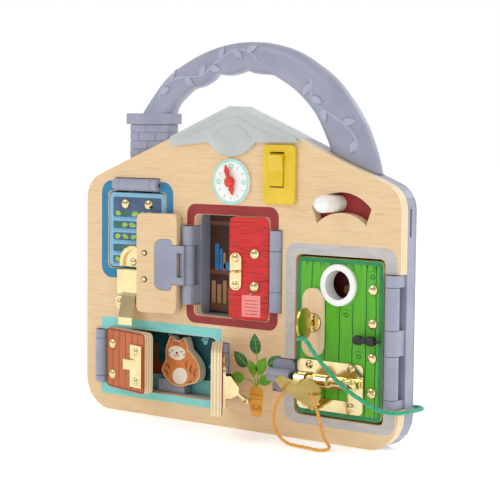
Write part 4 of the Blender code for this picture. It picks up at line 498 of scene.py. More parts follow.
def printed(name, body, tint, shapes, level=1, face=FACE, ahead=-1):
    """Printed areas on a face: each shape is a loop, or a list of loops, the later ones holes."""
    top, foot = face + ahead * level * LAYER, face - ahead * SINK
    areas = [loops if isinstance(loops[0], list) else [loops] for loops in shapes]
    return placed(name, solid([(loops, top, foot) for loops in areas]), body, "ink_" + tint)


def without(piece, boxes):
    """Cuts upright boxes (left, right, bottom, top) out of a piece."""
    cuts = [([panel(*box)], FACE - CUT_REACH, FACE + CUT_REACH) for box in boxes]
    cutter = linked("cutter", solid(cuts))
    change = piece.modifiers.new("cut", "BOOLEAN")
    change.object = cutter
    change.solver = "EXACT"
    graph = bpy.context.evaluated_depsgraph_get()
    done = bpy.data.meshes.new_from_object(piece.evaluated_get(graph))
    piece.modifiers.clear()
    piece.data = done
    bpy.data.objects.remove(cutter)


def block(name, shape, body, look, bevel, segments=2):
    """A piece with bevelled edges."""
    piece = placed(name, shape, body, look)
    change = piece.modifiers.new("edges", "BEVEL")
    change.width = bevel
    change.segments = segments
    change.limit_method = "ANGLE"
    change.angle_limit = math.radians(40)


def skin(shape, rings, caps=(0, -1)):
    """Faces between rings of as many points each, and over the rings that caps names."""
    count = len(rings[0])
    for near, far in zip(rings, rings[1:]):
        for k in range(count):
            after = (k + 1) % count
            shape.faces.new((near[k], near[after], far[after], far[k]))
    for end in caps:
        shape.faces.new(rings[end])


def dome(name, body, x, z, lift, radius, height, look="brass"):
    """A smooth rivet head over the model's faceted one."""
    shape = bmesh.new()
    turns = [math.pi / 2 * i / DOME_ROWS for i in range(1, DOME_ROWS + 1)]
    rows = [(radius * math.sin(t), height * math.cos(t) + SINK) for t in turns]
    rows += [(radius + SINK, 0), (radius + SINK, -SINK * 3)]
    rings = []
    for size, up in rows:
        rim = disc(0, 0, size + SINK, DOME_SIDES)
        rings.append([shape.verts.new((x + a, FACE - lift - up, z + b)) for a, b in rim])
    top = shape.verts.new((x, FACE - lift - (height + SINK), z))
    for i in range(DOME_SIDES):
        shape.faces.new((top, rings[0][i], rings[0][(i + 1) % DOME_SIDES]))
    skin(shape, rings, (-1,))
    return placed(name, shape, body, look, True)


def tube(shape, path, radius, sides, braid=0.0, pitch=0.0):
    """A round or braided tube along close points."""
    path = [Vector(p) for p in path]
    up = Vector((0.3, 0.9, 0.2)).normalized()
    rings = []
    run = 0.0
    for i, here in enumerate(path):
        ahead = (path[min(i + 1, len(path) - 1)] - path[max(i - 1, 0)]).normalized()
        up = (up - ahead * up.dot(ahead)).normalized()
        side = ahead.cross(up)
        if i:
            run += (here - path[i - 1]).length
        ring = []
        for k in range(sides):
            t = 2 * math.pi * k / sides
            size = radius
            if braid:
                crest = max(math.sin(3 * t + run / pitch), math.sin(3 * t - run / pitch))
                size = radius * (1 - braid + braid * crest)
            ring.append(shape.verts.new(here + (up * math.cos(t) + side * math.sin(t)) * size))
        rings.append(ring)
    skin(shape, rings)


def evenly(line, count=0, step=0.0):
    """Evenly spaced points along close ones, up to their end: count spaces, or a step apart."""
    runs = [0.0]
    for a, b in zip(line, line[1:]):
        runs.append(runs[-1] + (b - a).length)
    whole = runs[-1]
    spots = [whole * i / count for i in range(count + 1)] if count else []
    if step:
        spots = [step * i for i in range(int(whole / step) + 1)]
        if whole - spots[-1] > step / 4:
            spots.append(whole)
    found, k = [], 0
    for spot in spots:
        while k < len(runs) - 2 and runs[k + 1] < spot:
            k += 1
        found.append(line[k].lerp(line[k + 1], (spot - runs[k]) / (runs[k + 1] - runs[k])))
    return found


# Cords, on the routes that their solids in the model follow
KEY_CORD_ROUTE = [
    (0.08, -0.0337, 0.079), (0.0825, -0.0337, 0.0777), (0.0858, -0.0336, 0.074),
    (0.0908, -0.0332, 0.0677), (0.1033, -0.0322, 0.0554), (0.1152, -0.0312, 0.0458),
    (0.127, -0.029, 0.0387), (0.1386, -0.026, 0.0326), (0.148, -0.0225, 0.0305),
    (0.153, -0.014, 0.03), (0.1548, -0.003, 0.0298), (0.1552, 0.0078, 0.0297),
    (0.1537, 0.0121, 0.0296), (0.1501, 0.0147, 0.0296), (0.1461, 0.0147, 0.0296),
    (0.1425, 0.0121, 0.0296), (0.1411, 0.0083, 0.0296), (0.1411, 0.0063, 0.0296),
]
HEART_CORD_ROUTE = [
    (0.09, -0.0357, 0.0385), (0.0926, -0.0359, 0.035), (0.095, -0.0355, 0.027),
    (0.0972, -0.0345, 0.0177), (0.0988, -0.0336, 0.0108), (0.1012, -0.0334, 0.0062),
    (0.1052, -0.0351, 0.0034), (0.107, -0.0392, 0.002), (0.1053, -0.0433, 0.0016),
    (0.1012, -0.045, 0.0016), (0.095, -0.0438, 0.0016), (0.0879, -0.0428, 0.0016),
    (0.08, -0.042, 0.0016), (0.0725, -0.0413, 0.0024), (0.0652, -0.0405, 0.006),
    (0.0605, -0.04, 0.012), (0.059, -0.0392, 0.0195), (0.0594, -0.0372, 0.028),
    (0.0622, -0.0335, 0.036), (0.0675, -0.0295, 0.0415), (0.075, -0.028, 0.044),
    (0.083, -0.0291, 0.0437), (0.0888, -0.0318, 0.042),
]
CORD_STEP = 0.0005
CORD_SIDES = 18
BRAID_DEPTH, BRAID_PITCH = 0.13, 0.0011


def woven(name, dark, light):
    look = Look(name, 0.75, Sheen_Weight=0.35)
    cloud = look.noise(look.place, 500.0)
    look.colour(look.ramp(cloud, [(0.3, dark), (0.7, light)]))
    look.rough(cloud, 0.65, 0.88)
    look.bump(look.noise(look.place, 2600.0, 2.0), 0.00012, 0.6)


woven("green_cord", "1f8c62", "36b485")
woven("orange_cord", "d88f2a", "eeaa44")


def make_cord(name, route, radius, look):
    path = evenly(smooth(route, FINE), step=CORD_STEP)
    shape = bmesh.new()
    tube(shape, path, radius, CORD_SIDES, BRAID_DEPTH, BRAID_PITCH)
    cord = linked(name, shape, look, True)
    return cord, path, sum((b - a).length for a, b in zip(path, path[1:]))


green, green_path, green_length = make_cord("key_cord_braid", KEY_CORD_ROUTE, 0.0016, "green_cord")
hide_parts("key_cord")
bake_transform(green)
orange, orange_path, orange_length = make_cord(
    "heart_cord_braid", HEART_CORD_ROUTE, 0.0012, "orange_cord"
)
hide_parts("heart_cord")
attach(orange, "heart")


# Bands printed round the openings, notched where the hinges and the bolt's keeper stand
WINDOW = (-0.03625, 0.03625, 0.0848, 0.1636)
PET = (-0.1264, -0.014, 0.0187, 0.0682)
ENTRY = (0.0595, 0.1375, 0.0185, 0.138)
SHUTTER = (-0.1265, -0.065, 0.1166, 0.179)
OPENING_CORNER = 0.004


def band(name, tint, outer, corner, opening, notches):
    left, right, bottom, top = opening
    hole = panel(left - EDGE / 2, right + EDGE / 2, bottom - EDGE / 2, top + EDGE / 2, OPENING_CORNER)
    without(printed(name, "board", tint, [[panel(*outer, corner), hole]]), notches)


band("shutter_band", "blue", (-0.1337, -0.0581, 0.1085, 0.1874), 0.01, SHUTTER,
     [(-0.1195, -0.0715, 0.177, 0.1903)])
band("window_band", "dark_red", (-0.044, 0.044, 0.0785, 0.1715), 0.008, WINDOW,
     [(-0.0481, -0.035, 0.0922, 0.1548), (0.035, 0.0478, 0.0922, 0.1548)])
band("entry_band", "grey", (0.051, 0.147, 0.012, 0.146), 0.009, ENTRY,
     [(0.136, 0.16, 0.0309, 0.1278), (0.0397, 0.06, 0.0332, 0.0594)])
band("pet_band", "teal", (-0.1335, -0.009, 0.0125, 0.0759), 0.0015, PET,
     [(-0.1393, -0.1255, 0.0215, 0.0658), (-0.015, -0.001, 0.0215, 0.0658)])


# Prints on the backs of the rooms
def room_print(name, tint, shapes, level=1):
    return printed(name, "board", tint, shapes, level, ROOM_BACK)


room_print("window_room_wall", "dark_brown", [panel(-0.036, 0.036, 0.0851, 0.1633)])
room_print("window_room_shelves", "brown", [
    panel(-0.0355, 0.0355, 0.116, 0.1188), panel(-0.0355, 0.0355, 0.087, 0.0925),
    panel(-0.0355, 0.0355, 0.1545, 0.1575), panel(-0.0105, -0.008, 0.0925, 0.1545),
    panel(0.015, 0.0175, 0.0925, 0.1545),
], 2)
room_print("window_room_books", "sky", [
    panel(-0.031, -0.027, 0.119, 0.14, 0.0006), panel(-0.0262, -0.0235, 0.119, 0.136, 0.0006),
    panel(0.002, 0.0055, 0.119, 0.138, 0.0006), oval(-0.019, 0.1225, 0.0034, 0.0034),
], 3)
room_print("window_room_tins", "tan", [
    panel(-0.034, -0.03, 0.0928, 0.1105, 0.0006), panel(-0.0285, -0.0245, 0.0928, 0.108, 0.0006),
    panel(-0.0228, -0.0192, 0.0928, 0.111, 0.0006), panel(-0.0174, -0.0135, 0.0928, 0.106, 0.0006),
    panel(-0.0228, -0.0205, 0.119, 0.133, 0.0004), panel(0.007, 0.01, 0.119, 0.1345, 0.0005),
], 3)
room_print("pet_room_wall", "deep_teal", [panel(-0.1262, -0.0142, 0.03, 0.068)])
room_print("pet_room_rug", "teal", [
    panel(-0.1262, -0.0142, 0.0189, 0.0302), oval(-0.098, 0.037, 0.012, 0.0065),
])
room_print("pet_room_bowl", "burnt", [
    [(-0.101, 0.03), (-0.086, 0.03), (-0.0835, 0.04), (-0.1035, 0.04)],
    panel(-0.0995, -0.0955, 0.04, 0.062, 0.0008), panel(-0.0925, -0.0885, 0.04, 0.056, 0.0008),
], 2)


def paw(x, z, size, angle):
    """A pad and four toes."""
    found = [oval(x, z, size * 0.5, size * 0.4, angle, 18)]
    for way in (-52, -18, 18, 52):
        t = math.radians(angle) + math.radians(90 + way)
        toe_x, toe_z = x + math.cos(t) * size * 0.74, z + math.sin(t) * size * 0.74
        found.append(oval(toe_x, toe_z, size * 0.17, size * 0.22, angle + way, 14))
    return found


paws = []
for place in (
    (-0.04, 0.0605, 0.0048, 12), (-0.027, 0.052, 0.0048, -14), (-0.076, 0.063, 0.004, -8),
    (-0.02, 0.0625, 0.004, 20), (-0.033, 0.04, 0.004, 8),
):
    paws += paw(*place)
room_print("pet_room_paws", "teal", paws, 2)
room_print("entry_room_wall", "wine", [panel(0.0597, 0.1373, 0.0187, 0.1378)])
room_print("entry_room_boards", "dark_brown", [
    panel(x, x + 0.0012, 0.03, 0.1376) for x in (0.07, 0.081, 0.092, 0.103, 0.114, 0.125)
], 2)
room_print("entry_room_shelf", "tan", [
    panel(0.064, 0.133, 0.104, 0.1062), disc(0.0935, 0.112, 0.0034),
    panel(0.101, 0.104, 0.1075, 0.12, 0.0006),
], 3)
room_print("entry_room_floor", "brown", [panel(0.0597, 0.1373, 0.0187, 0.03)], 2)
room_print("shutter_room_wall", "sky", [panel(-0.1263, -0.0652, 0.1168, 0.1788)])
room_print("shutter_room_hills", "leaf_mid", [
    oval(-0.108, 0.123, 0.014, 0.0058), oval(-0.084, 0.1225, 0.016, 0.0052),
], 2)

# Shutter: rows of dark glass between pale slats, with leaf shapes in them
ROW_LEFT, ROW_RIGHT = -0.1212, -0.0703
ROWS = [(0.1208, 0.1268), (0.13, 0.1362), (0.1394, 0.1456), (0.1488, 0.155), (0.1582, 0.1744)]
LEAFY_ROWS = ROWS[:4] + [(0.1582, 0.164)]
LONGEST_LEAF = 0.0086
printed("shutter_rows", "shutter", "slate", [panel(ROW_LEFT, ROW_RIGHT, a, b, 0.0016) for a, b in ROWS])
rng = random.Random(7)
leaves = {"light": [], "dark": []}
for bottom, top in LEAFY_ROWS:
    x = ROW_LEFT + 0.002
    while x < ROW_RIGHT - LONGEST_LEAF:
        length = rng.uniform(0.0062, 0.0084)
        angle = rng.choice((-1, 1)) * rng.uniform(6, 20)
        middle = (bottom + top) / 2 - math.sin(math.radians(angle)) * length / 2
        tint = "light" if rng.random() < 0.6 else "dark"
        leaves[tint].append(leaf(x, middle, length, 0.004, angle))
        x += length + rng.uniform(0.0004, 0.0016)
for tint, shapes in leaves.items():
    printed("shutter_leaves_" + tint, "shutter", "leaf_" + tint, shapes, 2)
printed("shutter_slat_lines", "shutter", "blue", [
    panel(ROW_LEFT, ROW_RIGHT, a - 0.0011, a - 0.0007) for a, _ in ROWS
])

# Entry door: border, gaps between planks, knots and strokes
DOOR_LEFT, DOOR_RIGHT, DOOR_BOTTOM, DOOR_TOP = 0.0622, 0.1353, 0.0207, 0.1358
BORDER = 0.0028
left, right = DOOR_LEFT + BORDER, DOOR_RIGHT - BORDER
bottom, top = DOOR_BOTTOM + BORDER, DOOR_TOP - BORDER
SEAMS = (0.0748, 0.0868, 0.0992, 0.1105, 0.1218, 0.13)
SEAM_STEPS = 12
PORTHOLE = (0.0989, 0.1173)
PORTHOLE_REACH = 0.013
KNOTS = (
    (0.1048, 0.096, 0.0024, 0.0017), (0.1165, 0.0668, 0.0022, 0.0016),
    (0.1268, 0.125, 0.0022, 0.0018), (0.0706, 0.052, 0.0016, 0.0012),
)
printed("entry_border", "entry_door", "deep_green", [
    [panel(DOOR_LEFT, DOOR_RIGHT, DOOR_BOTTOM, DOOR_TOP, 0.0035),
     panel(left, right, bottom, top, 0.002)],
])
lines = []
for x in SEAMS:
    end = PORTHOLE[1] - PORTHOLE_REACH if abs(x - PORTHOLE[0]) < PORTHOLE_REACH else top
    rise = (end - bottom) / SEAM_STEPS
    seam = [(x + 0.0003 * math.sin(k * 1.7), bottom + rise * k) for k in range(SEAM_STEPS + 1)]
    lines.append(stroke(seam, 0.0009, 0.8))
rng = random.Random(11)
for x in [left + 0.0012 * k for k in range(1, 56)]:
    if rng.random() < 0.42:
        drop = rng.uniform(0.0015, 0.006)
        tip = (x + rng.uniform(-0.0004, 0.0008), top - drop)
        lines.append([(x - 0.0003, top - 0.0001), (x + 0.0005, top - 0.0001), tip])
    if rng.random() < 0.16:
        rise = rng.uniform(0.0015, 0.004)
        lines.append([(x, bottom + 0.0001), (x + 0.0007, bottom + 0.0001), (x + 0.0003, bottom + rise)])
for x, z, wide, high in KNOTS:
    lines.append([oval(x, z, wide, high), oval(x, z, wide * 0.62, high * 0.55)])
    brow = [(x - wide * 1.7, z + high * 1.9), (x, z + high * 2.3), (x + wide * 1.7, z + high * 1.7)]
    lines.append(stroke(brow, 0.0004))
printed("entry_seams", "entry_door", "line_green", lines, 2)

# Pet doors: planks
PLANKS = 6
PLANK_STEPS = 9
PLANK_BOTTOM, PLANK_TOP = 0.0197, 0.0672
PLANK_LINE = 0.0012


def pet_prints(name, left, right):
    low, high = PLANK_BOTTOM, PLANK_TOP
    step = (right - left) / PLANKS
    inner = panel(left + PLANK_LINE, right - PLANK_LINE, low + PLANK_LINE, high - PLANK_LINE, 0.002)
    printed(name + "_border", name, "burnt", [[panel(left, right, low, high, 0.003), inner]])
    seams = []
    for i in range(1, PLANKS):
        x, rise = left + step * i, high - low - 0.002
        wave = [0.00025 * math.sin(k * 2.1 + i) for k in range(PLANK_STEPS + 1)]
        seam = [(x + wave[k], low + 0.001 + rise * k / PLANK_STEPS) for k in range(PLANK_STEPS + 1)]
        seams.append(stroke(seam, 0.0008, 0.8))
    rng = random.Random(len(name))
    for i in range(PLANKS):
        x = left + step * (i + rng.uniform(0.3, 0.7))
        z = rng.uniform(low + 0.008, high - 0.012)
        seams.append(stroke([(x, z), (x + 0.0004, z + 0.004), (x - 0.0002, z + 0.008)], 0.0005))
    printed(name + "_seams", name, "burnt", seams, 2)


pet_prints("pet_left", -0.1256, -0.0716)
pet_prints("pet_right", -0.0688, -0.0148)

# Window doors: note with its pin, and rings on the back of the open one
NOTE_LINES = (0.1002, 0.0976, 0.095, 0.0924, 0.09)
printed("note", "window_right", "pink", [panel(0.0128, 0.0288, 0.0878, 0.1042)], 2)
printed("note_lines", "window_right", "note_line", [
    stroke([(0.015 + k * 0.0023, z + 0.0001 * math.sin(k * 2 + z * 900)) for k in range(6)], 0.0006, 0.8)
    for z in NOTE_LINES
], 3)
dome("note_pin", "window_right", 0.0208, 0.1052, 0.0, 0.0011, 0.0013, "steel")
for k, z in enumerate((0.1321, 0.1114)):
    ring = [disc(-0.0082, z, 0.0023), disc(-0.0082, z, 0.00155)]
    printed(f"hook_plate_ring_{k}", "window_left", "dark_brown", [ring], 1, PLY_BACK, 1)

# Plant in a pot
STEMS = (
    ((0.0245, 0.033), (0.0235, 0.04), (0.016, 0.05), 0.0009),
    ((0.025, 0.033), (0.0262, 0.043), (0.025, 0.06), 0.0009),
    ((0.0255, 0.033), (0.0285, 0.042), (0.036, 0.053), 0.0009),
    ((0.024, 0.033), (0.0215, 0.038), (0.013, 0.04), 0.0008),
)
VEINED = (
    (0.025, 0.059, 0.0165, 98), (0.0165, 0.0495, 0.017, 142), (0.035, 0.052, 0.015, 34),
    (0.0262, 0.044, 0.016, 62), (0.0236, 0.043, 0.013, 118), (0.0135, 0.04, 0.0125, 172),
)
POT = [
    (0.02, 0.034), (0.0186, 0.025), (0.02, 0.015), (0.0225, 0.0118),
    (0.0275, 0.0118), (0.03, 0.015), (0.0314, 0.025), (0.03, 0.034),
]
printed("plant_stems", "board", "leaf_mid", [
    stroke(smooth(points), width, 0.9) for *points, width in STEMS
])
printed("plant_dark_leaves", "board", "leaf_dark", [
    leaf(0.025, 0.059, 0.0165, 0.0105, 98, 0.0006), leaf(0.0165, 0.0495, 0.017, 0.01, 142, 0.0008),
    leaf(0.035, 0.052, 0.015, 0.0085, 34, -0.0006),
], 2)
printed("plant_light_leaves", "board", "leaf_mid", [
    leaf(0.0135, 0.04, 0.0125, 0.0085, 172, 0.0005), leaf(0.0262, 0.044, 0.016, 0.0095, 62, 0.0005),
    leaf(0.0236, 0.043, 0.013, 0.008, 118, -0.0005), leaf(0.027, 0.038, 0.015, 0.008, 18, 0.0005),
], 3)
veins = []
for x, z, length, angle in VEINED:
    t = math.radians(angle)
    along, side = Vector((math.cos(t), math.sin(t))), Vector((-math.sin(t), math.cos(t)))
    root = Vector((x, z))
    veins.append(stroke([root + along * length * 0.08 * k for k in range(12)], 0.0005, 0.6))
    for share in (0.28, 0.45, 0.62):
        start = root + along * length * share
        for way in (-1, 1):
            bend = start + (along * 0.7 + side * way) * length * 0.1
            tip = start + (along * 1.1 + side * way * 1.6) * length * 0.13
            veins.append(stroke([start, bend, tip], 0.0003, 0.5))
printed("plant_veins", "board", "leaf_light", veins, 4)
printed("plant_pot", "board", "pot", [smooth(POT, 5, True)], 4)
printed("plant_pot_bands", "board", "pot_dark", [
    panel(0.0192, 0.0308, 0.0278, 0.0292), panel(0.0189, 0.0311, 0.0248, 0.0256),
    [(0.0194, 0.019), (0.023, 0.0215), (0.025, 0.018), (0.0275, 0.0215), (0.0306, 0.019),
     (0.0298, 0.0162), (0.0202, 0.0162)],
], 5)

# Figure: a plain tabby animal drawn on the rocking board
FIGURE_X, FIGURE_Z, SOLE, FIGURE_FRONT = -0.059, 0.043, 0.019, -0.0058
FIGURE_SHARES = [
    (0.56, -0.83), (0.95, -0.72), (1.15, -0.38), (1.08, 0.05), (0.8, 0.38), (0.52, 0.62),
    (0.42, 0.92), (0.28, 1.12), (0.1, 0.98), (-0.22, 0.98), (-0.44, 1.12), (-0.58, 0.9),
    (-0.72, 0.52), (-0.7, 0.12), (-0.88, -0.2), (-0.93, -0.37),
]
outline = [
    (FIGURE_X + p[0], FIGURE_Z + p[1])
    for p in smooth([(x * SOLE, z * SOLE) for x, z in FIGURE_SHARES], 3)
]
outline += arc(FIGURE_X, FIGURE_Z, SOLE, -158, -56, 12)[1:-1]
STRIPES = (
    ((-0.064, 0.0605), (-0.0636, 0.058), (-0.0638, 0.0565), 0.0013),
    ((-0.0612, 0.0607), (-0.0612, 0.0588), (-0.0612, 0.0566), 0.0013),
    ((-0.0585, 0.0605), (-0.0588, 0.058), (-0.0586, 0.0565), 0.0013),
    ((-0.0455, 0.043), (-0.047, 0.0395), (-0.0465, 0.036), 0.0022),
    ((-0.0415, 0.04), (-0.043, 0.0365), (-0.0425, 0.033), 0.0022),
    ((-0.05, 0.046), (-0.0515, 0.043), (-0.051, 0.04), 0.002),
    ((-0.072, 0.0415), (-0.0695, 0.04), (-0.068, 0.0375), 0.002),
    ((-0.074, 0.0365), (-0.071, 0.035), (-0.0695, 0.0325), 0.002),
    ((-0.045, 0.031), (-0.047, 0.029), (-0.05, 0.0285), 0.0018),
)
INNER_EARS = [
    [(-0.068, 0.0612), (-0.0664, 0.063), (-0.0655, 0.0606)],
    [(-0.056, 0.0606), (-0.0548, 0.063), (-0.0536, 0.0608)],
]
FACE_X = -0.0608
MOUTH = ((-0.0025, 0.0006), (-0.0012, -0.0004), (0, 0.0006), (0.0012, -0.0004), (0.0025, 0.0006))
CLOSED_EYE = ((0.0032, 0.0533), (0.0046, 0.0523), (0.006, 0.0533))


def figure_print(name, tint, shapes, level):
    return printed(name, "figure", tint, shapes, level, FIGURE_FRONT)


figure_print("figure_fur", "fur", [grown(outline, 0.945)], 1)
figure_print("figure_muzzle", "cream", [
    oval(-0.0608, 0.0512, 0.0092, 0.0056), oval(-0.0575, 0.033, 0.0078, 0.0066, 20),
], 2)
figure_print("figure_stripes", "fur_dark", [
    stroke(points, width) for *points, width in STRIPES
] + INNER_EARS, 2)
face = [
    stroke(smooth([(FACE_X + way * x, z) for x, z in CLOSED_EYE], 4), 0.0006, 0.8) for way in (-1, 1)
]
face.append(stroke([(FACE_X + a, 0.049 + b) for a, b in MOUTH], 0.0006, 0.8))
for way in (-1, 1):
    x = FACE_X + way * 0.0066
    for rise in (-0.0006, 0.0004, 0.0014):
        whisker = [(x, rise * 0.4), (x + way * 0.0018, rise), (x + way * 0.0034, rise * 1.5 - 0.0001)]
        face.append(stroke([(a, 0.0502 + b) for a, b in whisker], 0.0004, 0.5))
figure_print("figure_face", "black", face, 3)
figure_print("figure_nose", "dark_red", [oval(FACE_X, 0.0512, 0.0014, 0.001)], 3)

# Clock: ring round its rim, strokes for the hours and roundels at three of them
CLOCK_X, CLOCK_Z = 0.0002, 0.1894
RIM_FACE, DIAL_FACE = FACE - 0.0024, FACE - 0.0018
ROUNDEL_OFF = 0.012
ROUNDELS = (0, 3, 9)
printed("clock_ring", "board", "aqua", [
    [disc(CLOCK_X, CLOCK_Z, 0.0173, 56), disc(CLOCK_X, CLOCK_Z, 0.0154, 56)],
], 1, RIM_FACE)
marks, roundels = [], []
for hour in range(12):
    t = math.radians(90 - hour * 30)
    if hour in ROUNDELS:
        spot = (CLOCK_X + ROUNDEL_OFF * math.cos(t), CLOCK_Z + ROUNDEL_OFF * math.sin(t))
        roundels.append([disc(*spot, 0.0021, 20), disc(*spot, 0.0009, 20)])
    else:
        reach = (0.0112, 0.0124, 0.0137)
        ends = [(CLOCK_X + r * math.cos(t), CLOCK_Z + r * math.sin(t)) for r in reach]
        marks.append(stroke(ends, 0.0007, 0.8))
printed("clock_marks", "board", "tick", marks, 1, DIAL_FACE)
printed("clock_roundels", "board", "aqua", roundels, 1, DIAL_FACE)

# Rivet heads: body, places, what they stand on, radius and height
LEAF, SHEET = 0.0003, 0.0008
BIG, SMALL, FLAT = (0.004, 0.0022), (0.0033, 0.0022), (0.0033, 0.002)
HEADS = [
    ("shutter", [(-0.1077, 0.169), (-0.0833, 0.169)], LEAF, BIG),
    ("shutter", [(-0.098, 0.1225)], GAP + 0.0006, SMALL),
    ("board", [(-0.113, 0.089)], SHEET, SMALL),
    ("window_left", [(-0.02405, 0.1357), (-0.02405, 0.111)], LEAF, BIG),
    ("window_right", [(0.02375, 0.1357), (0.02375, 0.111)], LEAF, BIG),
    ("window_right", [(0.0076, 0.1321), (0.0076, 0.1114)], SHEET, FLAT),
    ("entry_door", [(0.127575, z) for z in (0.0665, 0.0413, 0.1155, 0.091)], LEAF, BIG),
    ("entry_door", [(0.0741, 0.0571), (0.1107, 0.0571), (0.111, 0.0289), (0.0705, 0.0289)],
     SHEET, SMALL),
    ("pet_left", [(-0.116667, 0.0551), (-0.116667, 0.0302)], LEAF, BIG),
    ("pet_left", [(-0.082, 0.0525), (-0.082, 0.0287)], SHEET, FLAT),
    ("pet_right", [(-0.023733, 0.0551), (-0.023733, 0.0302)], LEAF, BIG),
]
for body, places, lift, (radius, height) in HEADS:
    for x, z in places:
        dome(f"{body}_head_{round(abs(x) * 1e4)}_{round(z * 1e4)}", body, x, z, lift, radius, height)

# Chimney bricks, cut off along the roof
EAVES, GABLE, HALF_WIDTH = 0.1865, 0.0602, 0.15
STACK_LEFT, STACK_RIGHT, STACK_TOP, STACK_HALF = -0.11, -0.0716, 0.2326, 0.006
BRICK, MORTAR, PROUD, LEAST_BRICK = 0.0058, 0.0009, 0.0006, 0.0012
COURSES = ((0, 0.42, 1), (0, 0.22, 0.68, 1), (0, 0.46, 1), (0, 0.26, 0.72, 1), (0, 0.5, 1))


def roof(x):
    return EAVES + GABLE * (1 - abs(x) / HALF_WIDTH)


bricks = []
for row, shares in enumerate(COURSES):
    top = STACK_TOP - row * (BRICK + MORTAR)
    for a, b in zip(shares, shares[1:]):
        left = STACK_LEFT + (STACK_RIGHT - STACK_LEFT) * a + (MORTAR / 2 if a else -PROUD)
        right = STACK_LEFT + (STACK_RIGHT - STACK_LEFT) * b - (MORTAR / 2 if b < 1 else -PROUD)
        low = [max(top - BRICK, roof(x) + GAP * 2) for x in (left, right)]
        if top - min(low) < LEAST_BRICK:
            continue
        if top - max(low) < LEAST_BRICK:
            right = left + (right - left) * (top - LEAST_BRICK - low[0]) / (low[1] - low[0])
            low[1] = top - LEAST_BRICK
        bricks.append([(left, low[0]), (right, low[1]), (right, top), (left, top)])
bricks = solid([([brick], -STACK_HALF - PROUD, STACK_HALF + PROUD) for brick in bricks])
block("chimney_bricks", bricks, "board", "shell_plastic", 0.0004)

# Handle: a rounded section along its two edges, with finger waves inside and a vine in front
HANDLE_OUTER = [
    (-0.1016, 0.2399), (-0.0761, 0.2683), (-0.0476, 0.2846), (-0.0155, 0.294), (0.0156, 0.2952),
    (0.0438, 0.2896), (0.0659, 0.2789), (0.0875, 0.263), (0.1088, 0.2363), (0.1196, 0.2127),
    (0.1241, 0.1972),
]
HANDLE_INNER = [
    (-0.0695, 0.2399), (-0.0647, 0.2491), (-0.0506, 0.2597), (-0.0398, 0.2624), (-0.0311, 0.2665),
    (-0.0248, 0.271), (-0.0141, 0.2704), (-0.0047, 0.2715), (0.0038, 0.2736), (0.0119, 0.2715),
    (0.0281, 0.2698), (0.033, 0.2677), (0.0498, 0.2579), (0.0665, 0.2423), (0.0776, 0.2236),
    (0.0815, 0.2143),
]
HANDLE_HALF = 0.008
HANDLE_STATIONS = 150
HANDLE_SIDES = 40
ROUNDNESS = 2.8


def rounded_share(value):
    return math.copysign(abs(value) ** (2 / ROUNDNESS), value)


outer, inner = [evenly(smooth(edge, FINE), HANDLE_STATIONS) for edge in (HANDLE_OUTER, HANDLE_INNER)]
HANDLE_LINE = [((a + b) / 2, (a - b) / 2) for a, b in zip(outer, inner)]
shape = bmesh.new()
rings = []
for middle, half in HANDLE_LINE:
    ring = []
    for k in range(HANDLE_SIDES):
        t = 2 * math.pi * k / HANDLE_SIDES
        point = middle + half * rounded_share(math.cos(t))
        ring.append(shape.verts.new((point.x, -HANDLE_HALF * rounded_share(math.sin(t)), point.y)))
    rings.append(ring)
skin(shape, rings)
grip = placed("handle_grip", shape, "board", "shell_plastic", True)
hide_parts("carry_handle")


def handle_depth(x, z):
    """How far the handle's rounded front lies before its middle at a place."""
    here = Vector((x, z))

    def across(middle, half):
        return (here - middle).dot(half) / half.length_squared

    def miss(station):
        middle, half = station
        return (here - middle - half * max(-1, min(1, across(middle, half)))).length

    share = abs(across(*min(HANDLE_LINE, key=miss)))
    return -HANDLE_HALF * (1 - min(share, 0.98) ** ROUNDNESS) ** (1 / ROUNDNESS)


# The vine's two stretches: first and last station, waves and where the wave starts
VINES = ((10, 76, 1.5, 0.5), (104, 144, 1.0, 2.6))
VINE_RADIUS, VINE_SIDES = 0.0012, 8
LEAF_EVERY, LEAF_LEAN = 23, 44
SPRIG = (0.0104, 0.0054)
SPRIG_HALF = 0.001
shape = bmesh.new()
for first, last, turns, phase in VINES:
    vine = []
    for i in range(first, last):
        middle, half = HANDLE_LINE[i]
        swing = math.sin((i - first) / (last - first) * turns * 2 * math.pi + phase)
        vine.append(middle + half * 0.5 * swing)
    vine = smooth(vine, 3)
    stem = [(p.x, handle_depth(p.x, p.y) + VINE_RADIUS * 0.3, p.y) for p in vine]
    tube(shape, stem, VINE_RADIUS, VINE_SIDES)
    for k, i in enumerate(range(10, len(vine) - 8, LEAF_EVERY)):
        ahead = vine[i + 1] - vine[i - 1]
        lean = math.degrees(math.atan2(ahead.y, ahead.x)) + (LEAF_LEAN if k % 2 else -LEAF_LEAN)
        before = len(shape.verts)
        prism(shape, [leaf(*vine[i], *SPRIG, lean)], -SPRIG_HALF, SPRIG_HALF)
        shape.verts.ensure_lookup_table()
        for corner in shape.verts[before:]:
            corner.co.y += handle_depth(corner.co.x, corner.co.z)
# The vine wears the lighter copy of the shell's plastic: a painted highlight
block("handle_vine", shape, "board", "shell_painted_highlight", 0.0005)

# Lamp: raised ribs on its cover, which reaches back over the shell's ridge
LAMP_FACE = FACE - 0.0022
RIB = [(-0.056, 0.2196), (-0.028, 0.2285), (0, 0.239), (0.028, 0.2285), (0.056, 0.2196)]
CROWN_RADIUS, CROWN_HALF = 0.008, 0.0029
CAP_REACH, CAP_STEP, CAP_THICKNESS = 0.06, 0.0012, 0.0007


def ridge(x):
    """The shell's roof with its rounded crown."""
    if abs(x) >= CROWN_HALF:
        return roof(x)
    drop = math.sqrt(CROWN_RADIUS**2 - CROWN_HALF**2) - math.sqrt(CROWN_RADIUS**2 - x * x)
    return roof(CROWN_HALF) - drop


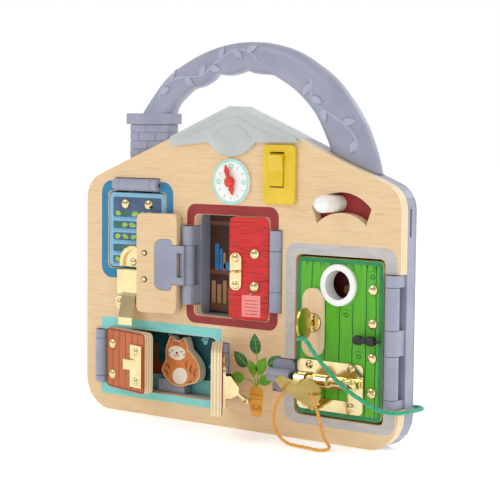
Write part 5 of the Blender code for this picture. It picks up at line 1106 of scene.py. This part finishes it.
def cap_strip(below):
    """The cap from the front: thinner at its two ends."""
    over = [-CAP_REACH + CAP_STEP * k for k in range(101)]
    upper = [(x, ridge(x) + CAP_THICKNESS * min(1.0, (CAP_REACH - abs(x)) / 0.006 + 0.3)) for x in over]
    return upper + [(x, ridge(x) - below) for x in reversed(over)]


ribs = solid([
    ([arc(0, 0.212, 0.021, 152, 28, 24) + arc(0, 0.212, 0.02, 28, 152, 24)],
     LAMP_FACE - 0.0004, LAMP_FACE + SINK),
    ([stroke(smooth(RIB), 0.0008, 0.5)], LAMP_FACE - 0.0003, LAMP_FACE + SINK),
])
block("lamp_ribs", ribs, "board", "frosted_plastic", 0.00015, 1)
cap = solid([
    ([cap_strip(0.0002)], FACE - 0.0018, SHELL_BACK),
    ([cap_strip(0.0026)], FACE - 0.0025, FACE - 0.0003),
])
block("lamp_cap", cap, "board", "frosted_plastic", 0.0004)

# Clock's hub
dome("clock_hub", "board", CLOCK_X, CLOCK_Z, 0.0055, 0.0036, 0.0016, "hand_red")

# Ring on the lock's face, and the cord's tie on the key
LOCK_X, LOCK_Z = 0.0783, 0.0886
TIE_Y, TIE_Z = -0.0335, 0.079
TIE_STEPS = 22
ring = [disc(LOCK_X, LOCK_Z, 0.0052), disc(LOCK_X, LOCK_Z, 0.004)]
block("lock_ring", solid([(ring, FACE - 0.0049, FACE - 0.0045)]), "entry_door", "brass", 0.00015, 1)
tie = []
for k in range(TIE_STEPS + 1):
    t = 2 * math.pi * k / TIE_STEPS
    across, ahead, up = 0.0019 * math.cos(t), 0.0026 * math.sin(t), 0.0012 * math.sin(t + 0.6)
    tie.append((LOCK_X + across, TIE_Y + ahead, TIE_Z + up))
shape = bmesh.new()
tube(shape, tie, 0.0012, 10, 0.1, 0.0009)
placed("key_tie", shape, "key", "green_cord", True)

# Back of the shell: cross-slotted screws, the battery cover's grip, and a black sheet on the side that
# paints a slot's shade
SCREWS = ((-0.13, 0.03), (0.13, 0.03), (-0.13, 0.165), (0.13, 0.165), (0.0, 0.228), (0.0, 0.012))
BACK_SINK = SHELL_BACK - 0.0002
ARM, ARM_HALF = 0.0014, 0.0003
for index, (x, z) in enumerate(SCREWS):
    screw = solid([
        ([disc(x, z, 0.003, 24), disc(x, z, 0.0023, 24)], BACK_SINK, SHELL_BACK + 0.0003),
        ([panel(x - ARM, x + ARM, z - ARM_HALF, z + ARM_HALF)], BACK_SINK, SHELL_BACK + 0.00015),
        ([panel(x - ARM_HALF, x + ARM_HALF, z - ARM, z + ARM)], BACK_SINK, SHELL_BACK + 0.0002),
    ])
    placed(f"back_screw_{index}", screw, "board", "steel")
heights = [0.03 + k * 0.0022 for k in range(5)]
grip = solid([
    ([panel(0.013, 0.027, z, z + 0.0009, 0.0004, 3)], BACK_SINK, SHELL_BACK + 0.0005) for z in heights
])
block("battery_grip", grip, "board", "shell_plastic", 0.0002, 1)
# Painted shade: a thin black sheet on the side wall stands for the dark inside of a slot
side_slot_shade = solid([([panel(-0.003, -0.0012, 0.154, 0.174)], HALF_WIDTH - 0.0002, HALF_WIDTH + 0.00006)])
swapped = Matrix(((0, 1, 0, 0), (1, 0, 0, 0), (0, 0, 1, 0), (0, 0, 0, 1)))
bmesh.ops.transform(side_slot_shade, matrix=swapped, verts=side_slot_shade.verts)
placed("side_slot_shade", side_slot_shade, "board", "ink_black")

# The pins' ends shade flat
for hinge in ("shutter", "window_left", "window_right", "entry", "pet_left", "pet_right"):
    for face in NODES[hinge + "_pin"].data.polygons:
        face.use_smooth = False

# Stage
FLOOR_RADIUS = 8.0
FLOOR_GLOW = 0.36
floor_look = Look("floor_white", 0.9)
floor_look.colour(paint("f8f8f8"))
floor_look.shader.inputs["Emission Color"].default_value = (1, 1, 1, 1)
floor_look.shader.inputs["Emission Strength"].default_value = FLOOR_GLOW
shape = bmesh.new()
bmesh.ops.create_circle(shape, cap_ends=True, segments=64, radius=FLOOR_RADIUS)
linked("floor", shape, "floor_white")

MIDDLE = Vector((0, 0, 0.14))
LIGHTS = (
    ("key", (-0.9, -1.5, 1.5), 0.8, 8),
    ("fill", (1.6, -1.0, 0.6), 0.9, 3.2),
    ("rim", (0.6, 1.4, 1.2), 0.8, 6),
)
for name, place, size, power in LIGHTS:
    data = bpy.data.lights.new(name, "AREA")
    data.size = size
    data.energy = power
    lamp = bpy.data.objects.new(name, data)
    lamp.location = place
    lamp.rotation_euler = (MIDDLE - Vector(place)).to_track_quat("-Z", "Y").to_euler()
    bpy.context.scene.collection.objects.link(lamp)

# The world is white behind the object and darker before it, which gives the brass its shades
world = bpy.data.worlds.new("studio")
world.use_nodes = True
bpy.context.scene.world = world
nodes, links = world.node_tree.nodes, world.node_tree.links
sky = nodes.new("ShaderNodeTexCoord")
split = nodes.new("ShaderNodeSeparateXYZ")
tint = nodes.new("ShaderNodeMapRange")
for socket, value in (("From Min", -0.75), ("From Max", -0.05), ("To Min", 0.5), ("To Max", 1.0)):
    tint.inputs[socket].default_value = value
links.new(sky.outputs["Generated"], split.inputs[0])
links.new(split.outputs[1], tint.inputs["Value"])
links.new(tint.outputs[0], nodes["Background"].inputs[0])
nodes["Background"].inputs[1].default_value = 1.0
bpy.context.scene.view_settings.view_transform = "Standard"

bpy.context.view_layer.update()
